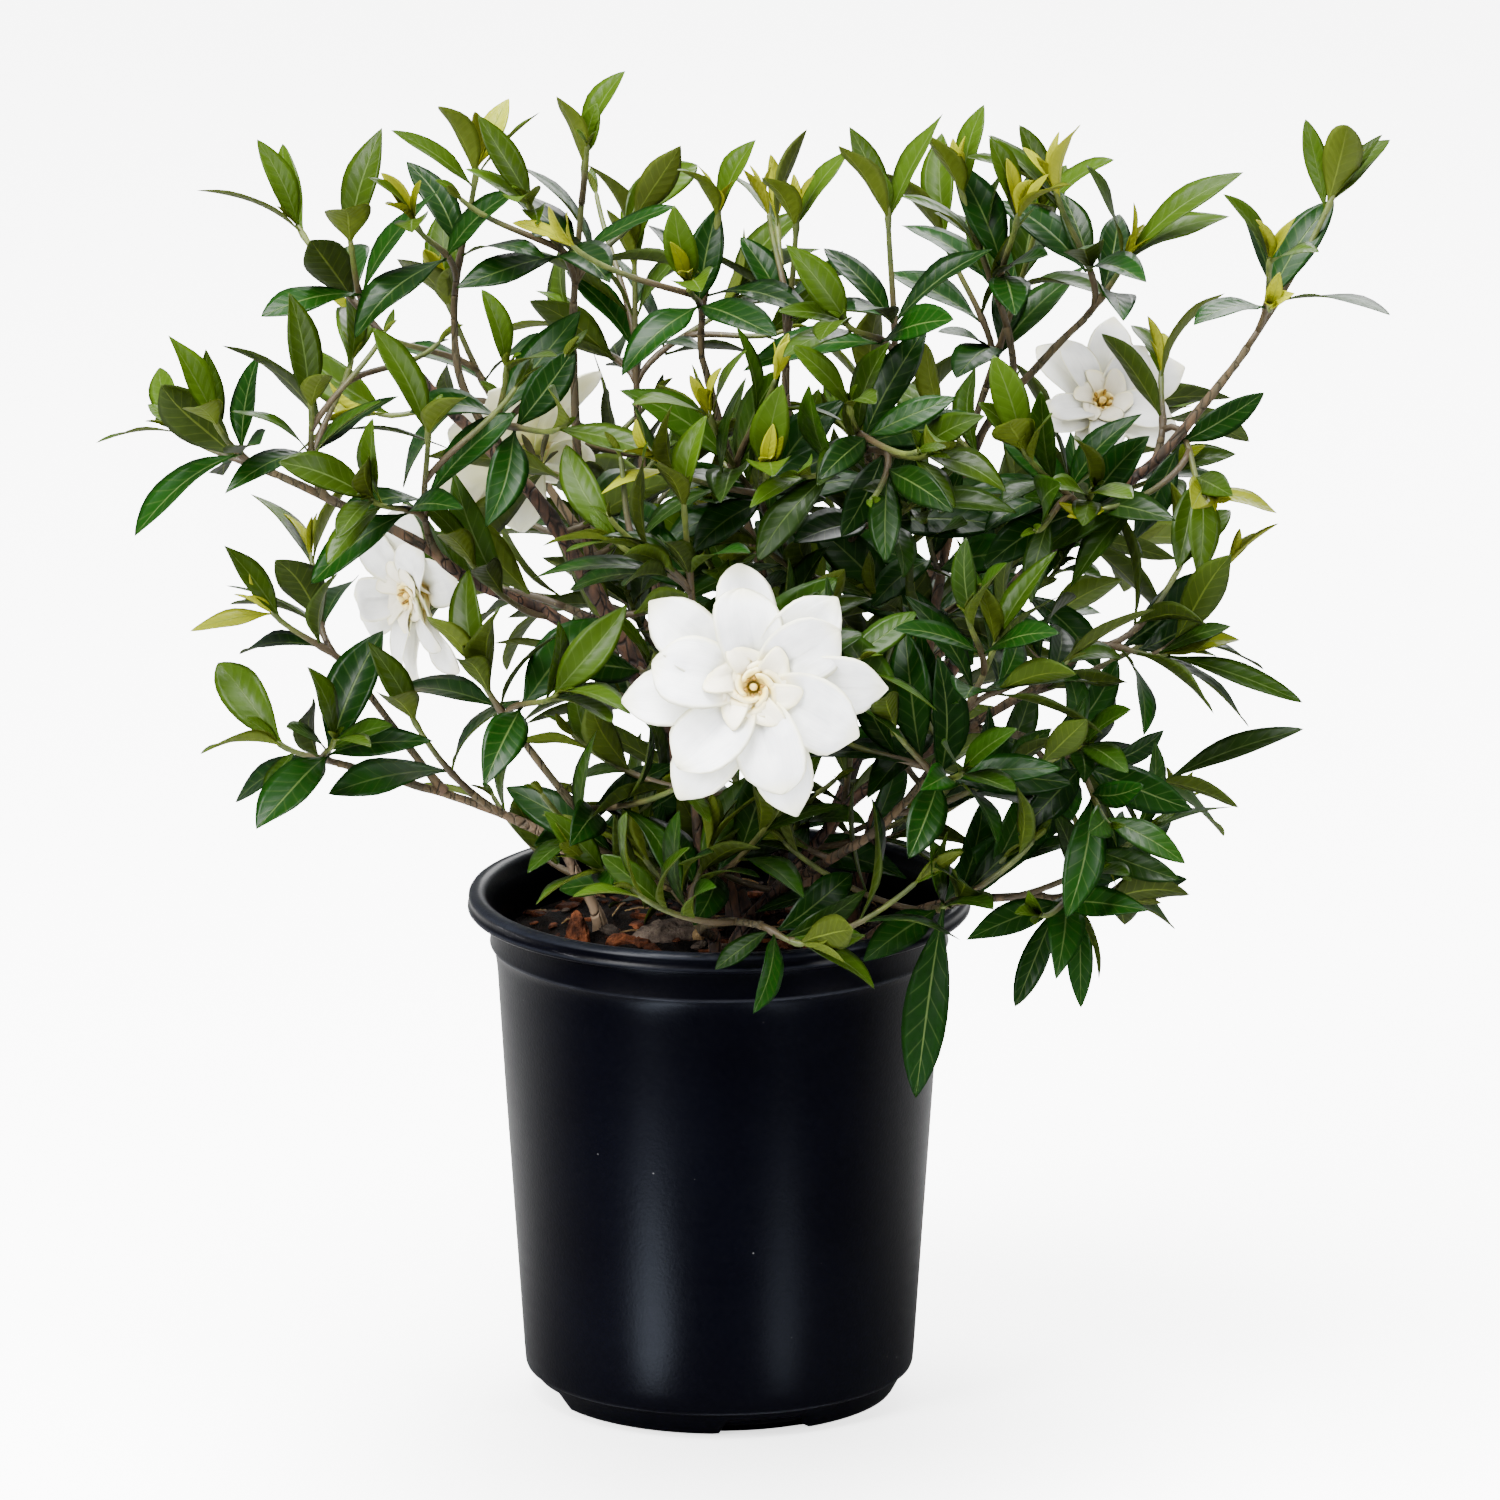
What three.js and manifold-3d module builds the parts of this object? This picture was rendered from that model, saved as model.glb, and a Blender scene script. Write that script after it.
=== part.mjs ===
// Potted gardenia: a leafy double-flowered shrub in a tapered black nursery pot.
// Millimetres, +Z up, origin at the middle of the pot's flat base, front of the plant towards -Y.
import * as THREE from "three";
import { mergeVertices } from "three/addons/utils/BufferGeometryUtils.js";
import Module from "manifold-3d";

const wasm = await Module();
wasm.setup();

// Pot
const POT_HEIGHT = 242;
const POT_SIDES = 30;
const RIM_RADIUS = 117.5;
const BASE_RADIUS = 81.5;
const FLOOR_THICKNESS = 4;
const NOTCH = { width: 39, height: 7, depth: 6, reach: 30, count: 4, first: -75 };

// Soil
const SOIL_LEVEL = 218;
const SOIL_MOUND = 5;
const STEM_DEPTH = 14;
const STEM_COLLAR = 8;
const GAP = 0.35;

// Leaves and shoots
const BLADE_THICKNESS = 0.9;
const LEAF_LENGTH = 59;
const LEAF_SLENDERNESS = 0.18;
const LEAF_FOLD = 0.1;
const LEAF_PITCH = { low: 62, top: 26, spread: 22 };
const LEAF_SPREAD = 26;
const LEAF_TURN = 17;
const LEAF_RISE = 0.12;
const SHORT_LEAF = { from: 8, scale: 0.72 };
const THREE_LEAF_SHARE = 0.2;
const WHORL_PLACE = { low: 0.6, top: 0.85 };
const WHORL_SPACING = 34;
const FORK_START = 0.04;
const SHOOT_SIDES = 4;
const GREEN_RADIUS = 1.7;
const TIP_RADIUS = 1.2;
const TWIG_END_RADIUS = 1.9;
const BUD_LENGTH = 4;
const ROOT_SINK = 0.4;
const LARGE_LEAF = 68;
const LEAF_TRIES = 12;
const CLEARANCE = 0.45;

// Blooms
const BOSS = { radius: 6.5, depth: 3, rise: 1.6, sides: 8 };
const CALYX_RADIUS = 3.6;
const PETAL_THICKNESS = 1.2;
const PETAL_ROLL = 0.22;
const PETAL_FOLD = 0.06;
const OUTER_WHORL = { petals: 6, halfWidth: 0.25, height: -1.4, inset: 1 };
const INNER_WHORL = { petals: 5, reach: 0.8, halfWidth: 0.27, height: -0.2, inset: 2.5, lift: 13 };
const SWIRL = { large: 7, small: 4, length: 0.34, halfWidth: 0.13, lift: 50, twist: -28, height: -1,
  inset: 4 };
const HEART = { radius: 2.8, height: 6.5, points: 5, spread: 4.2 };

const UP = new THREE.Vector3(0, 0, 1);
const ACROSS = new THREE.Vector3(1, 0, 0);
const vec = (p) => new THREE.Vector3(p[0], p[1], p[2]);
const degrees = THREE.MathUtils.degToRad;
const lerp = THREE.MathUtils.lerp;

// Seeded draw from three whole numbers, 0 to 1
function draw(a, b, c) {
  const value = Math.sin(a * 12.9898 + b * 78.233 + c * 37.719) * 43758.5453;
  return value - Math.floor(value);
}

// Woody stems: each limb has its route and its two end radii; the first limb rises from the soil
const WOOD = {
  wood_01: [
    { route: [[10, 12], [-4, 10, 267], [-14, 8, 289], [-33, 6, 337], [-58, 6, 384], [-81, 2, 424],
      [-98, -2, 445], [-130, -8, 480], [-148, -12, 502]], radii: [6.2, 2.2] },
    { route: [[-33, 6, 337], [-74, -14, 375], [-116, -28, 398], [-139, -34, 417], [-181, -36, 439],
      [-204, -36, 450]], radii: [3.4, 1.8] },
    { route: [[-58, 6, 384], [-65, 16, 435], [-68, 22, 500]], radii: [2.6, 1.8] },
    { route: [[-98, -2, 445], [-119, 8, 482], [-123, 14, 512]], radii: [2.2, 1.7] },
  ],
  wood_02: [
    { route: [[26, 28], [32, 32, 285], [38, 30, 350], [34, 26, 420], [31, 20, 475]], radii: [4.4, 2] },
    { route: [[36, 31, 330], [10, 38, 420], [-8, 30, 490]], radii: [2.5, 1.7] },
    { route: [[38, 30, 350], [62, 2, 410], [80, -14, 478]], radii: [2.5, 1.8] },
  ],
  wood_03: [
    { route: [[10, -24], [38, -27, 262], [66, -30, 296], [110, -36, 326], [150, -40, 352],
      [172, -42, 370]], radii: [3.6, 1.8] },
    { route: [[24, -26, 246], [48, -52, 268], [74, -78, 292], [96, -94, 322], [110, -98, 346]],
      radii: [2.6, 1.8] },
  ],
  wood_04: [
    { route: [[62, 28], [82, 26, 290], [120, 18, 360], [170, 10, 420], [201, 4, 445], [224, 2, 473],
      [240, 2, 494]], radii: [4.2, 1.9] },
    { route: [[92, 24, 310], [106, 42, 395], [122, 38, 450], [150, 28, 488], [170, 24, 510]],
      radii: [2.6, 1.7] },
  ],
  wood_05: [
    { route: [[66, -46], [86, -55, 243], [106, -62, 252], [132, -60, 254], [148, -58, 254]],
      radii: [2.8, 1.9] },
  ],
  wood_06: [
    { route: [[-56, 0], [-67, -5, 251], [-78, -8, 268], [-111, -15, 286], [-149, -22, 300],
      [-174, -28, 309]], radii: [3, 1.8] },
    { route: [[-128, -18, 293], [-150, -15, 322], [-172, -12, 352]], radii: [2, 1.6] },
  ],
  wood_07: [
    { route: [[-14, 60], [-22, 88, 300], [-32, 112, 372], [-38, 128, 430]], radii: [4, 2] },
    { route: [[-26, 98, 330], [-70, 116, 390], [-98, 124, 430]], radii: [2.5, 1.8] },
  ],
  wood_08: [
    { route: [[42, 62], [72, 88, 300], [100, 106, 370], [118, 118, 430]], radii: [4, 2] },
    { route: [[72, 88, 300], [118, 112, 340], [150, 122, 370]], radii: [2.4, 1.8] },
  ],
  wood_09: [
    { route: [[-2, -48], [-10, -66, 290], [-12, -78, 350], [-12, -84, 395]], radii: [3, 1.9] },
    { route: [[-4, -52, 242], [-36, -58, 270], [-66, -62, 298], [-94, -64, 335]], radii: [2.4, 1.8] },
    { route: [[-2, -49, 232], [-8, -76, 243], [4, -98, 253], [18, -114, 256]], radii: [2.3, 1.7] },
  ],
};

// Leafy shoots: the wood and limb that carries each, where along it, how much of its first axis is
// brown, the tips of its axes, and the leaves that reach a known point as [axis, share, tip, half width]
const SHOOTS = [
  { wood: "wood_01", limb: 1, at: 1, bare: 0.1, tips: [[-250, -16, 466], [-232, -50, 478]],
    reach: [[0, 1, [-265, -4, 476], 5], [0, 0.6, [-237, -30, 509], 7]] },
  { wood: "wood_01", limb: 0, at: 1, bare: 0.15, tips: [[-195, 15, 556], [-170, -34, 562]],
    reach: [[0, 1, [-214, 14, 598], 7.5]] },
  { wood: "wood_01", limb: 3, at: 1, bare: 0.15, tips: [[-112, 4, 586], [-140, -36, 570]],
    reach: [[0, 1, [-97, 20, 616], 6.5], [0, 0.85, [-152, 6, 604], 5.5]] },
  { wood: "wood_01", limb: 2, at: 1, bare: 0.2, tips: [[-62, 10, 590], [-88, -28, 578], [-38, 34, 556]],
    reach: [[0, 1, [-56, 6, 617], 6]] },
  { wood: "wood_01", limb: 1, at: 0.8, bare: 0.25, tips: [[-188, -60, 490], [-170, -10, 498]] },
  { wood: "wood_01", limb: 1, at: 0.52, bare: 0.2, tips: [[-134, -66, 480], [-160, -82, 450]] },
  { wood: "wood_01", limb: 0, at: 0.78, bare: 0.25, tips: [[-98, -52, 505], [-74, -60, 478]] },
  { wood: "wood_02", limb: 1, at: 1, bare: 0.15, tips: [[0, 4, 566], [-14, -34, 540]] },
  { wood: "wood_02", limb: 0, at: 1, bare: 0.15, tips: [[36, -6, 565], [27, 50, 551]] },
  { wood: "wood_02", limb: 2, at: 1, bare: 0.15, tips: [[78, -26, 574], [58, -58, 528]],
    reach: [[0, 1, [60, -16, 611], 6.5]] },
  { wood: "wood_02", limb: 0, at: 0.68, bare: 0.3, tips: [[-4, -66, 486], [22, -74, 462]] },
  { wood: "wood_02", limb: 2, at: 0.7, bare: 0.25, tips: [[60, -80, 494], [96, -78, 470]] },
  { wood: "wood_04", limb: 1, at: 1, bare: 0.1, tips: [[188, 12, 540], [156, 6, 574]],
    reach: [[0, 1, [243, 2, 585], 8]] },
  { wood: "wood_04", limb: 0, at: 1, bare: 0.1, tips: [[284, 0, 574], [254, -34, 552]],
    reach: [[0, 1, [307, 2, 603], 4.5], [0, 0.9, [271, 4, 610], 5.5]] },
  { wood: "wood_04", limb: 1, at: 0.62, bare: 0.35, tips: [[112, 16, 574], [138, -14, 568]] },
  { wood: "wood_08", limb: 0, at: 1, bare: 0.2, tips: [[150, 68, 552], [104, 112, 530]] },
  { wood: "wood_04", limb: 0, at: 0.72, bare: 0.25, tips: [[206, 44, 478], [224, -30, 440]],
    reach: [[1, 1, [259, -22, 428], 7]] },
  { wood: "wood_04", limb: 0, at: 0.55, bare: 0.25, tips: [[172, -50, 446], [140, -66, 470]] },
  { wood: "wood_03", limb: 0, at: 1, bare: 0.15, tips: [[206, -44, 366], [214, -20, 402]],
    reach: [[0, 1, [271, -40, 342], 7], [0, 0.9, [237, -60, 384], 6]] },
  { wood: "wood_03", limb: 0, at: 0.68, bare: 0.3, tips: [[206, -26, 300], [168, -72, 330]],
    reach: [[0, 1, [272, -30, 327], 8]] },
  { wood: "wood_05", limb: 0, at: 1, bare: 0.1, tips: [[180, -52, 250], [166, -84, 268]],
    reach: [[0, 1, [218, -42, 258], 7], [0, 0.55, [168, -66, 202], 6], [0, 0.25, [137, -78, 206], 6.5]] },
  { wood: "wood_05", limb: 0, at: 0.5, bare: 0.3, tips: [[104, -86, 257]],
    reach: [[0, 1, [91, -92, 166], 11]] },
  { wood: "wood_06", limb: 0, at: 1, bare: 0.1, tips: [[-204, -32, 320], [-178, -62, 330]],
    reach: [[0, 1, [-220, -36, 334], 5], [0, 0.7, [-212, -30, 294], 5]] },
  { wood: "wood_06", limb: 1, at: 1, bare: 0.1, tips: [[-207, -14, 378], [-190, 20, 396]],
    reach: [[0, 1, [-246, -16, 370], 6], [0, 0.9, [-230, -10, 410], 7.5]] },
  { wood: "wood_06", limb: 0, at: 0.62, bare: 0.25, tips: [[-142, -58, 340]] },
  { wood: "wood_09", limb: 1, at: 1, bare: 0.1, tips: [[-112, -70, 366], [-74, -100, 362]] },
  { wood: "wood_09", limb: 0, at: 1, bare: 0.1, tips: [[-16, -98, 452], [-48, -88, 432]] },
  { wood: "wood_09", limb: 0, at: 0.7, bare: 0.3, tips: [], bloom: 1 },
  { wood: "wood_01", limb: 2, at: 0.4, bare: 0.3, tips: [], bloom: 2 },
  { wood: "wood_01", limb: 0, at: 0.5, bare: 0.3, tips: [], bloom: 3 },
  { wood: "wood_04", limb: 0, at: 0.5, bare: 0.3, tips: [], bloom: 4 },
  { wood: "wood_03", limb: 1, at: 1, bare: 0.1, tips: [[128, -106, 390], [160, -80, 372]] },
  { wood: "wood_03", limb: 1, at: 0.7, bare: 0.2, tips: [[112, -128, 332], [80, -120, 352]] },
  { wood: "wood_09", limb: 2, at: 0.35, bare: 0.2, tips: [[-34, -74, 276], [-4, -82, 284]] },
  { wood: "wood_09", limb: 2, at: 1, bare: 0.1, tips: [[38, -126, 250]],
    reach: [[0, 0.7, [66, -124, 254], 6.5], [0, 0.2, [-2, -128, 238], 6]] },
  { wood: "wood_07", limb: 0, at: 1, bare: 0.15, tips: [[-40, 128, 520], [-70, 168, 470], [8, 150, 490]] },
  { wood: "wood_07", limb: 1, at: 1, bare: 0.1, tips: [[-128, 108, 500], [-160, 120, 440]] },
  { wood: "wood_07", limb: 0, at: 0.5, bare: 0.3, tips: [[-60, 176, 390], [-110, 158, 350]] },
  { wood: "wood_08", limb: 0, at: 0.62, bare: 0.25, tips: [[70, 176, 440], [30, 172, 390]] },
  { wood: "wood_08", limb: 1, at: 1, bare: 0.1, tips: [[196, 118, 430], [186, 146, 370]] },
  { wood: "wood_08", limb: 0, at: 0.34, bare: 0.3, tips: [[84, 170, 320], [124, 166, 350]] },
];

// Blooms: centre, the way each faces, its radius and how far its petals lift
const BLOOMS = {
  1: { centre: [16, -132, 374], facing: [0, -0.966, 0.259], radius: 59, lift: 6,
    outer: [[96, 55], [47, 54], [-1, 59], [-73, 62], [-124, 61], [186, 59], [140, 60]],
    inner: [[93, 43], [34, 45], [-28, 52], [-78, 48], [-138, 48], [164, 47]] },
  2: { centre: [-88, 62, 434], facing: [-0.45, 0.7, 0.35], radius: 50, lift: 16 },
  3: { centre: [-140, 26, 378], facing: [-0.75, -0.5, -0.1], radius: 48, lift: 14 },
  4: { centre: [178, 64, 458], facing: [0.15, -0.75, 0.6], radius: 40, lift: 26 },
};

// A closed solid from points and triangles, turned the right way out
function solidOf(points, faces) {
  let volume = 0;
  for (const [a, b, c] of faces) {
    volume += points[a].dot(points[b].clone().cross(points[c]));
  }
  const wound = volume < 0 ? faces.map(([a, b, c]) => [a, c, b]) : faces;
  return new wasm.Manifold(new wasm.Mesh({
    numProp: 3,
    vertProperties: new Float32Array(points.flatMap((p) => [p.x, p.y, p.z])),
    triVerts: new Uint32Array(wound.flat()),
  }));
}

function solidFromGeometry(geometry) {
  const bare = geometry.clone();
  bare.deleteAttribute("normal");
  bare.deleteAttribute("uv");
  const merged = mergeVertices(bare, 1e-4);
  const { array } = merged.attributes.position;
  const points = [];
  for (let i = 0; i < array.length; i += 3) {
    points.push(new THREE.Vector3(array[i], array[i + 1], array[i + 2]));
  }
  const faces = [];
  const index = merged.index.array;
  for (let i = 0; i < index.length; i += 3) {
    const face = [index[i], index[i + 1], index[i + 2]];
    if (new Set(face).size === 3) faces.push(face);
  }
  return solidOf(points, faces);
}

// A skin over a row of rings with equal counts; a ring of one point closes an end in a tip.
// Quads split from the keel point outwards, so both halves of a blade are split alike.
function skin(rings) {
  const points = rings.flat();
  const faces = [];
  let start = 0;
  rings.forEach((ring, i) => {
    const count = ring.length;
    const next = rings[i + 1];
    if (i === 0) {
      for (let k = 1; k < count - 1; k += 1) faces.push([start, start + k + 1, start + k]);
    }
    if (!next) {
      for (let k = 1; k < count - 1; k += 1) faces.push([start, start + k, start + k + 1]);
      return;
    }
    const after = start + count;
    if (count === 1) {
      for (let k = 0; k < next.length; k += 1) {
        faces.push([start, after + ((k + 1) % next.length), after + k]);
      }
    }
    for (let k = 0; k < count && count > 1; k += 1) {
      const a = start + k;
      const b = start + ((k + 1) % count);
      if (next.length === 1) {
        faces.push([a, b, after]);
        continue;
      }
      const c = after + k;
      const d = after + ((k + 1) % count);
      if (k % 2 === 0) faces.push([a, b, d], [a, d, c]);
      else faces.push([a, b, c], [b, d, c]);
    }
    start = after;
  });
  return solidOf(points, faces);
}

function unite(solids) {
  return wasm.Manifold.union(solids);
}

// A direction square to the general run of a stem, from which its rings and whorls are turned
function squareTo(direction) {
  const other = Math.abs(direction.z) < 0.9 ? UP : new THREE.Vector3(1, 0, 0);
  return direction.clone().cross(other).normalize();
}

function frameAt(tangent, reference) {
  const u = reference.clone().addScaledVector(tangent, -reference.dot(tangent)).normalize();
  return { u, v: tangent.clone().cross(u) };
}

function stemRing({ point, tangent, radius }, sides, reference) {
  const { u, v } = frameAt(tangent, reference);
  return Array.from({ length: sides }, (_, k) => {
    const angle = (2 * Math.PI * k) / sides;
    return point.clone()
      .addScaledVector(u, radius * Math.cos(angle))
      .addScaledVector(v, radius * Math.sin(angle));
  });
}

function stem(stations, sides, reference, bud = 0) {
  const rings = stations.map((station) => (
    station.radius > 0 ? stemRing(station, sides, reference) : [station.point]));
  const last = stations[stations.length - 1];
  if (bud > 0) rings.push([last.point.clone().addScaledVector(last.tangent, bud)]);
  return skin(rings);
}

// Woody limbs
function limbPoints(route) {
  if (route[0].length === 3) return route.map(vec);
  const [x, y] = route[0];
  return [[x, y, SOIL_LEVEL - STEM_DEPTH], [x, y, SOIL_LEVEL + STEM_COLLAR], ...route.slice(1)].map(vec);
}

function limbStations({ route, radii }) {
  const points = limbPoints(route);
  const last = points.length - 1;
  return points.map((point, i) => ({
    point,
    tangent: points[Math.min(i + 1, last)].clone().sub(points[Math.max(i - 1, 0)]).normalize(),
    radius: lerp(radii[0], radii[1], i / last),
  }));
}

function limbSolid(limb) {
  const stations = limbStations(limb);
  const run = stations[stations.length - 1].point.clone().sub(stations[0].point).normalize();
  const rooted = limb.route[0].length === 2;
  if (!rooted) stations[0].radius = 0;
  return stem(stations, limb.radii[0] > 4 ? 6 : 4, rooted ? ACROSS : squareTo(run));
}

// The hole that a rooted limb stands in: its buried end, a little larger all round
function holeSolid(limb) {
  const stations = limbStations(limb).slice(0, 2);
  stations.forEach((station) => {
    station.radius = limb.radii[0] + GAP * 1.5;
  });
  stations[0].point.z -= GAP;
  return stem(stations, limb.radii[0] > 4 ? 6 : 4, ACROSS);
}

function alongLimb(limb, at) {
  const points = limbPoints(limb.route);
  const place = Math.min(at, 0.9999) * (points.length - 1);
  const i = Math.floor(place);
  return {
    point: points[i].clone().lerp(points[i + 1], place - i),
    tangent: points[i + 1].clone().sub(points[i]).normalize(),
  };
}

// The axis of a shoot: a curve that leaves its carrier along its run and turns up towards its tip
function axisCurve(start, startTangent, tip, endTangent) {
  const chord = tip.clone().sub(start);
  const reach = chord.length();
  chord.normalize();
  const leave = startTangent.clone().addScaledVector(chord, 0.9).normalize();
  const arrive = endTangent ?? chord.clone().addScaledVector(UP, 0.35).normalize();
  return new THREE.CubicBezierCurve3(
    start,
    start.clone().addScaledVector(leave, reach * 0.33),
    tip.clone().addScaledVector(arrive, -reach * 0.3),
    tip,
  );
}

function bloomBase(number) {
  const { centre, facing } = BLOOMS[number];
  const axis = vec(facing).normalize();
  return { centre: vec(centre), axis, back: vec(centre).addScaledVector(axis, -BOSS.depth - GAP) };
}

// Every axis of a shoot with its whorls of leaves
function shootAxes(spec) {
  const { point, tangent } = alongLimb(WOOD[spec.wood][spec.limb], spec.at);
  const axes = [];
  if (spec.bloom) {
    const { axis, back } = bloomBase(spec.bloom);
    axes.push({ curve: axisCurve(point, tangent, back, axis), begin: spec.bare, bloom: true });
  }
  spec.tips.forEach((tip) => {
    const first = axes[0];
    if (!first) {
      axes.push({ curve: axisCurve(point, tangent, vec(tip)), begin: spec.bare });
      return;
    }
    const fork = spec.bare + 0.1;
    const curve = axisCurve(first.curve.getPoint(fork), first.curve.getTangent(fork), vec(tip));
    axes.push({ curve, begin: 0, side: true });
  });
  axes.forEach((axis) => {
    const { curve, begin } = axis;
    const from = Math.max(begin, FORK_START);
    const length = curve.getPoint(1).distanceTo(curve.getPoint(from));
    const count = axis.bloom ? 2 : THREE.MathUtils.clamp(Math.round(length / WHORL_SPACING), 2, 5);
    axis.reference = squareTo(curve.getPoint(1).sub(curve.getPoint(0)).normalize());
    axis.phase = Math.PI / 4;
    axis.knots = [begin];
    const to = axis.bloom ? 0.8 : 1;
    for (let k = 1; k <= count; k += 1) axis.knots.push(lerp(from, to, k / count));
    axis.whorls = Array.from({ length: count }, (_, k) => {
      const low = curve.getPoint(axis.knots[k]);
      const high = curve.getPoint(axis.knots[k + 1]);
      const tangent = high.clone().sub(low).normalize();
      const share = k === count - 1 ? WHORL_PLACE.top : WHORL_PLACE.low;
      return { point: low.lerp(high, share), tangent, age: axis.bloom ? 0.5 : k / (count - 1) };
    });
  });
  return axes;
}

function axisSolid(axis) {
  const { curve, begin, knots, reference } = axis;
  const stations = knots.map((at) => ({
    point: curve.getPoint(at),
    tangent: curve.getTangent(at),
    radius: lerp(GREEN_RADIUS, TIP_RADIUS, (at - begin) / (1 - begin)),
  }));
  if (axis.side) stations[0].radius = 0;
  else stations[0].point.addScaledVector(stations[0].tangent, GAP);
  if (!axis.bloom) return stem(stations, SHOOT_SIDES, reference, BUD_LENGTH);
  stations.push({ point: curve.getPoint(1), tangent: curve.getTangent(1), radius: CALYX_RADIUS });
  return stem(stations, SHOOT_SIDES, reference);
}

function twigSolid(axis, carrierRadius) {
  const { curve, begin, reference } = axis;
  const stations = [0, 0.35, 1].map((share) => ({
    point: curve.getPoint(share * begin),
    tangent: curve.getTangent(share * begin),
    radius: share === 0 ? 0 : lerp(carrierRadius, TWIG_END_RADIUS, share),
  }));
  return stem(stations, SHOOT_SIDES, reference);
}

// Blades: three points to a ring, left edge, right edge and the keel of the rib below them
function leafOutline(share) {
  return Math.sin(Math.PI * share ** 1.15) ** 1.1;
}

function bladeRings(blade, margin) {
  const { root, along, normal, length, halfWidth, arch, fold, thickness, outline, stations } = blade;
  const across = along.clone().cross(normal).normalize();
  return stations.map((share) => {
    const rib = root.clone()
      .addScaledVector(along, length * share)
      .addScaledVector(normal, -length * arch * share * share);
    if (share === 0) return [rib];
    if (share === 1) return [rib.addScaledVector(along, margin)];
    const half = outline(share) * halfWidth + margin;
    const raise = half * fold;
    const thick = thickness + margin;
    return [
      rib.clone().addScaledVector(across, -half).addScaledVector(normal, raise + margin),
      rib.clone().addScaledVector(across, half).addScaledVector(normal, raise + margin),
      rib.clone().addScaledVector(normal, -thick),
    ];
  });
}

function bladeSolid(blade) {
  return skin(bladeRings(blade, 0));
}

// The room that a blade needs: the blade grown by the clearance, from a little way out of its stem
function guardSolid(blade) {
  const ownRing = bladeRings(blade, 0)[1];
  const grown = bladeRings(blade, CLEARANCE);
  const start = ownRing.map((point, k) => point.clone()
    .lerp(blade.root, 0.72)
    .add(grown[1][k])
    .sub(point));
  return skin([start, ...grown.slice(1)]);
}

function leafBlade(root, along, upward, length, halfWidth, arch) {
  const normal = upward.clone().addScaledVector(along, -upward.dot(along)).normalize();
  const large = length > LARGE_LEAF;
  return {
    root: root.clone().addScaledVector(along, -ROOT_SINK),
    along, normal, length, halfWidth, arch,
    fold: LEAF_FOLD,
    thickness: BLADE_THICKNESS,
    outline: leafOutline,
    stations: large ? [0, 0.18, 0.44, 0.74, 1] : [0, 0.24, 0.62, 1],
  };
}

// One try at a leaf of a whorl: each later try turns it further round the stem, and the last are shorter
function whorlLeaf(axis, place, seed, attempt) {
  const { whorl, k, j, count } = place;
  const { point, tangent } = whorl;
  const { u, v } = frameAt(tangent, axis.reference);
  const turn = (attempt % 2 ? 1 : -1) * Math.ceil(attempt / 2) * degrees(LEAF_TURN);
  const leaf = k * 7 + j;
  const jitter = (draw(seed, leaf, 2) - 0.5) * degrees(LEAF_SPREAD);
  const azimuth = axis.phase + (k * Math.PI) / count + (j * 2 * Math.PI) / count + jitter + turn;
  const tilt = (draw(seed, leaf, 3 + attempt) - 0.5) * LEAF_PITCH.spread;
  const pitch = degrees(lerp(LEAF_PITCH.low, LEAF_PITCH.top, whorl.age) + tilt);
  const outward = u.clone().multiplyScalar(Math.cos(azimuth)).addScaledVector(v, Math.sin(azimuth));
  const along = tangent.clone().multiplyScalar(Math.cos(pitch))
    .addScaledVector(outward, Math.sin(pitch))
    .addScaledVector(UP, LEAF_RISE)
    .normalize();
  const bulge = 0.74 + 0.4 * Math.sin(Math.PI * (0.15 + 0.8 * whorl.age));
  const shrink = attempt < SHORT_LEAF.from ? 1 : SHORT_LEAF.scale;
  const length = LEAF_LENGTH * bulge * (0.85 + 0.36 * draw(seed, leaf, 20)) * shrink;
  const halfWidth = length * LEAF_SLENDERNESS * (0.88 + 0.3 * draw(seed, leaf, 21));
  const arch = 0.02 + 0.2 * draw(seed, leaf, 22);
  const upward = tangent.clone().multiplyScalar(0.8).addScaledVector(UP, 0.5);
  return leafBlade(point, along, upward, length, halfWidth, arch);
}

// One try at a leaf whose tip reaches a known point
function reachingLeaf(axis, [, share, tip, halfWidth], seed, attempt) {
  const last = axis.knots.length - 1;
  const k = Math.min(Math.floor(share * last), last - 1);
  const root = axis.curve.getPoint(axis.knots[k])
    .lerp(axis.curve.getPoint(axis.knots[k + 1]), share * last - k);
  const target = vec(tip);
  const stray = attempt * 1.5;
  target.x += (draw(seed, attempt, 31) - 0.5) * stray;
  target.y += (draw(seed, attempt, 32) - 0.5) * stray * 3;
  target.z += (draw(seed, attempt, 33) - 0.5) * stray;
  const along = target.sub(root);
  const length = along.length();
  along.normalize();
  const upward = UP.clone().addScaledVector(along, -0.4).add(new THREE.Vector3(0, -0.5, 0));
  return leafBlade(root, along, upward, length, halfWidth, 0);
}

function boxesMeet(a, b) {
  return [0, 1, 2].every((i) => a.min[i] <= b.max[i] && b.min[i] <= a.max[i]);
}

// Everything that a new leaf has to stay clear of, with the node that owns it
class Thicket {
  constructor() {
    this.things = [];
  }

  add(solid, owner) {
    this.things.push({ solid, owner, box: solid.boundingBox() });
  }

  isClear(guard, owner) {
    const box = guard.boundingBox();
    return this.things.every((thing) => {
      if (thing.owner === owner || !boxesMeet(box, thing.box)) return true;
      const shared = guard.intersect(thing.solid);
      const empty = shared.isEmpty();
      shared.delete();
      return empty;
    });
  }
}

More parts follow.
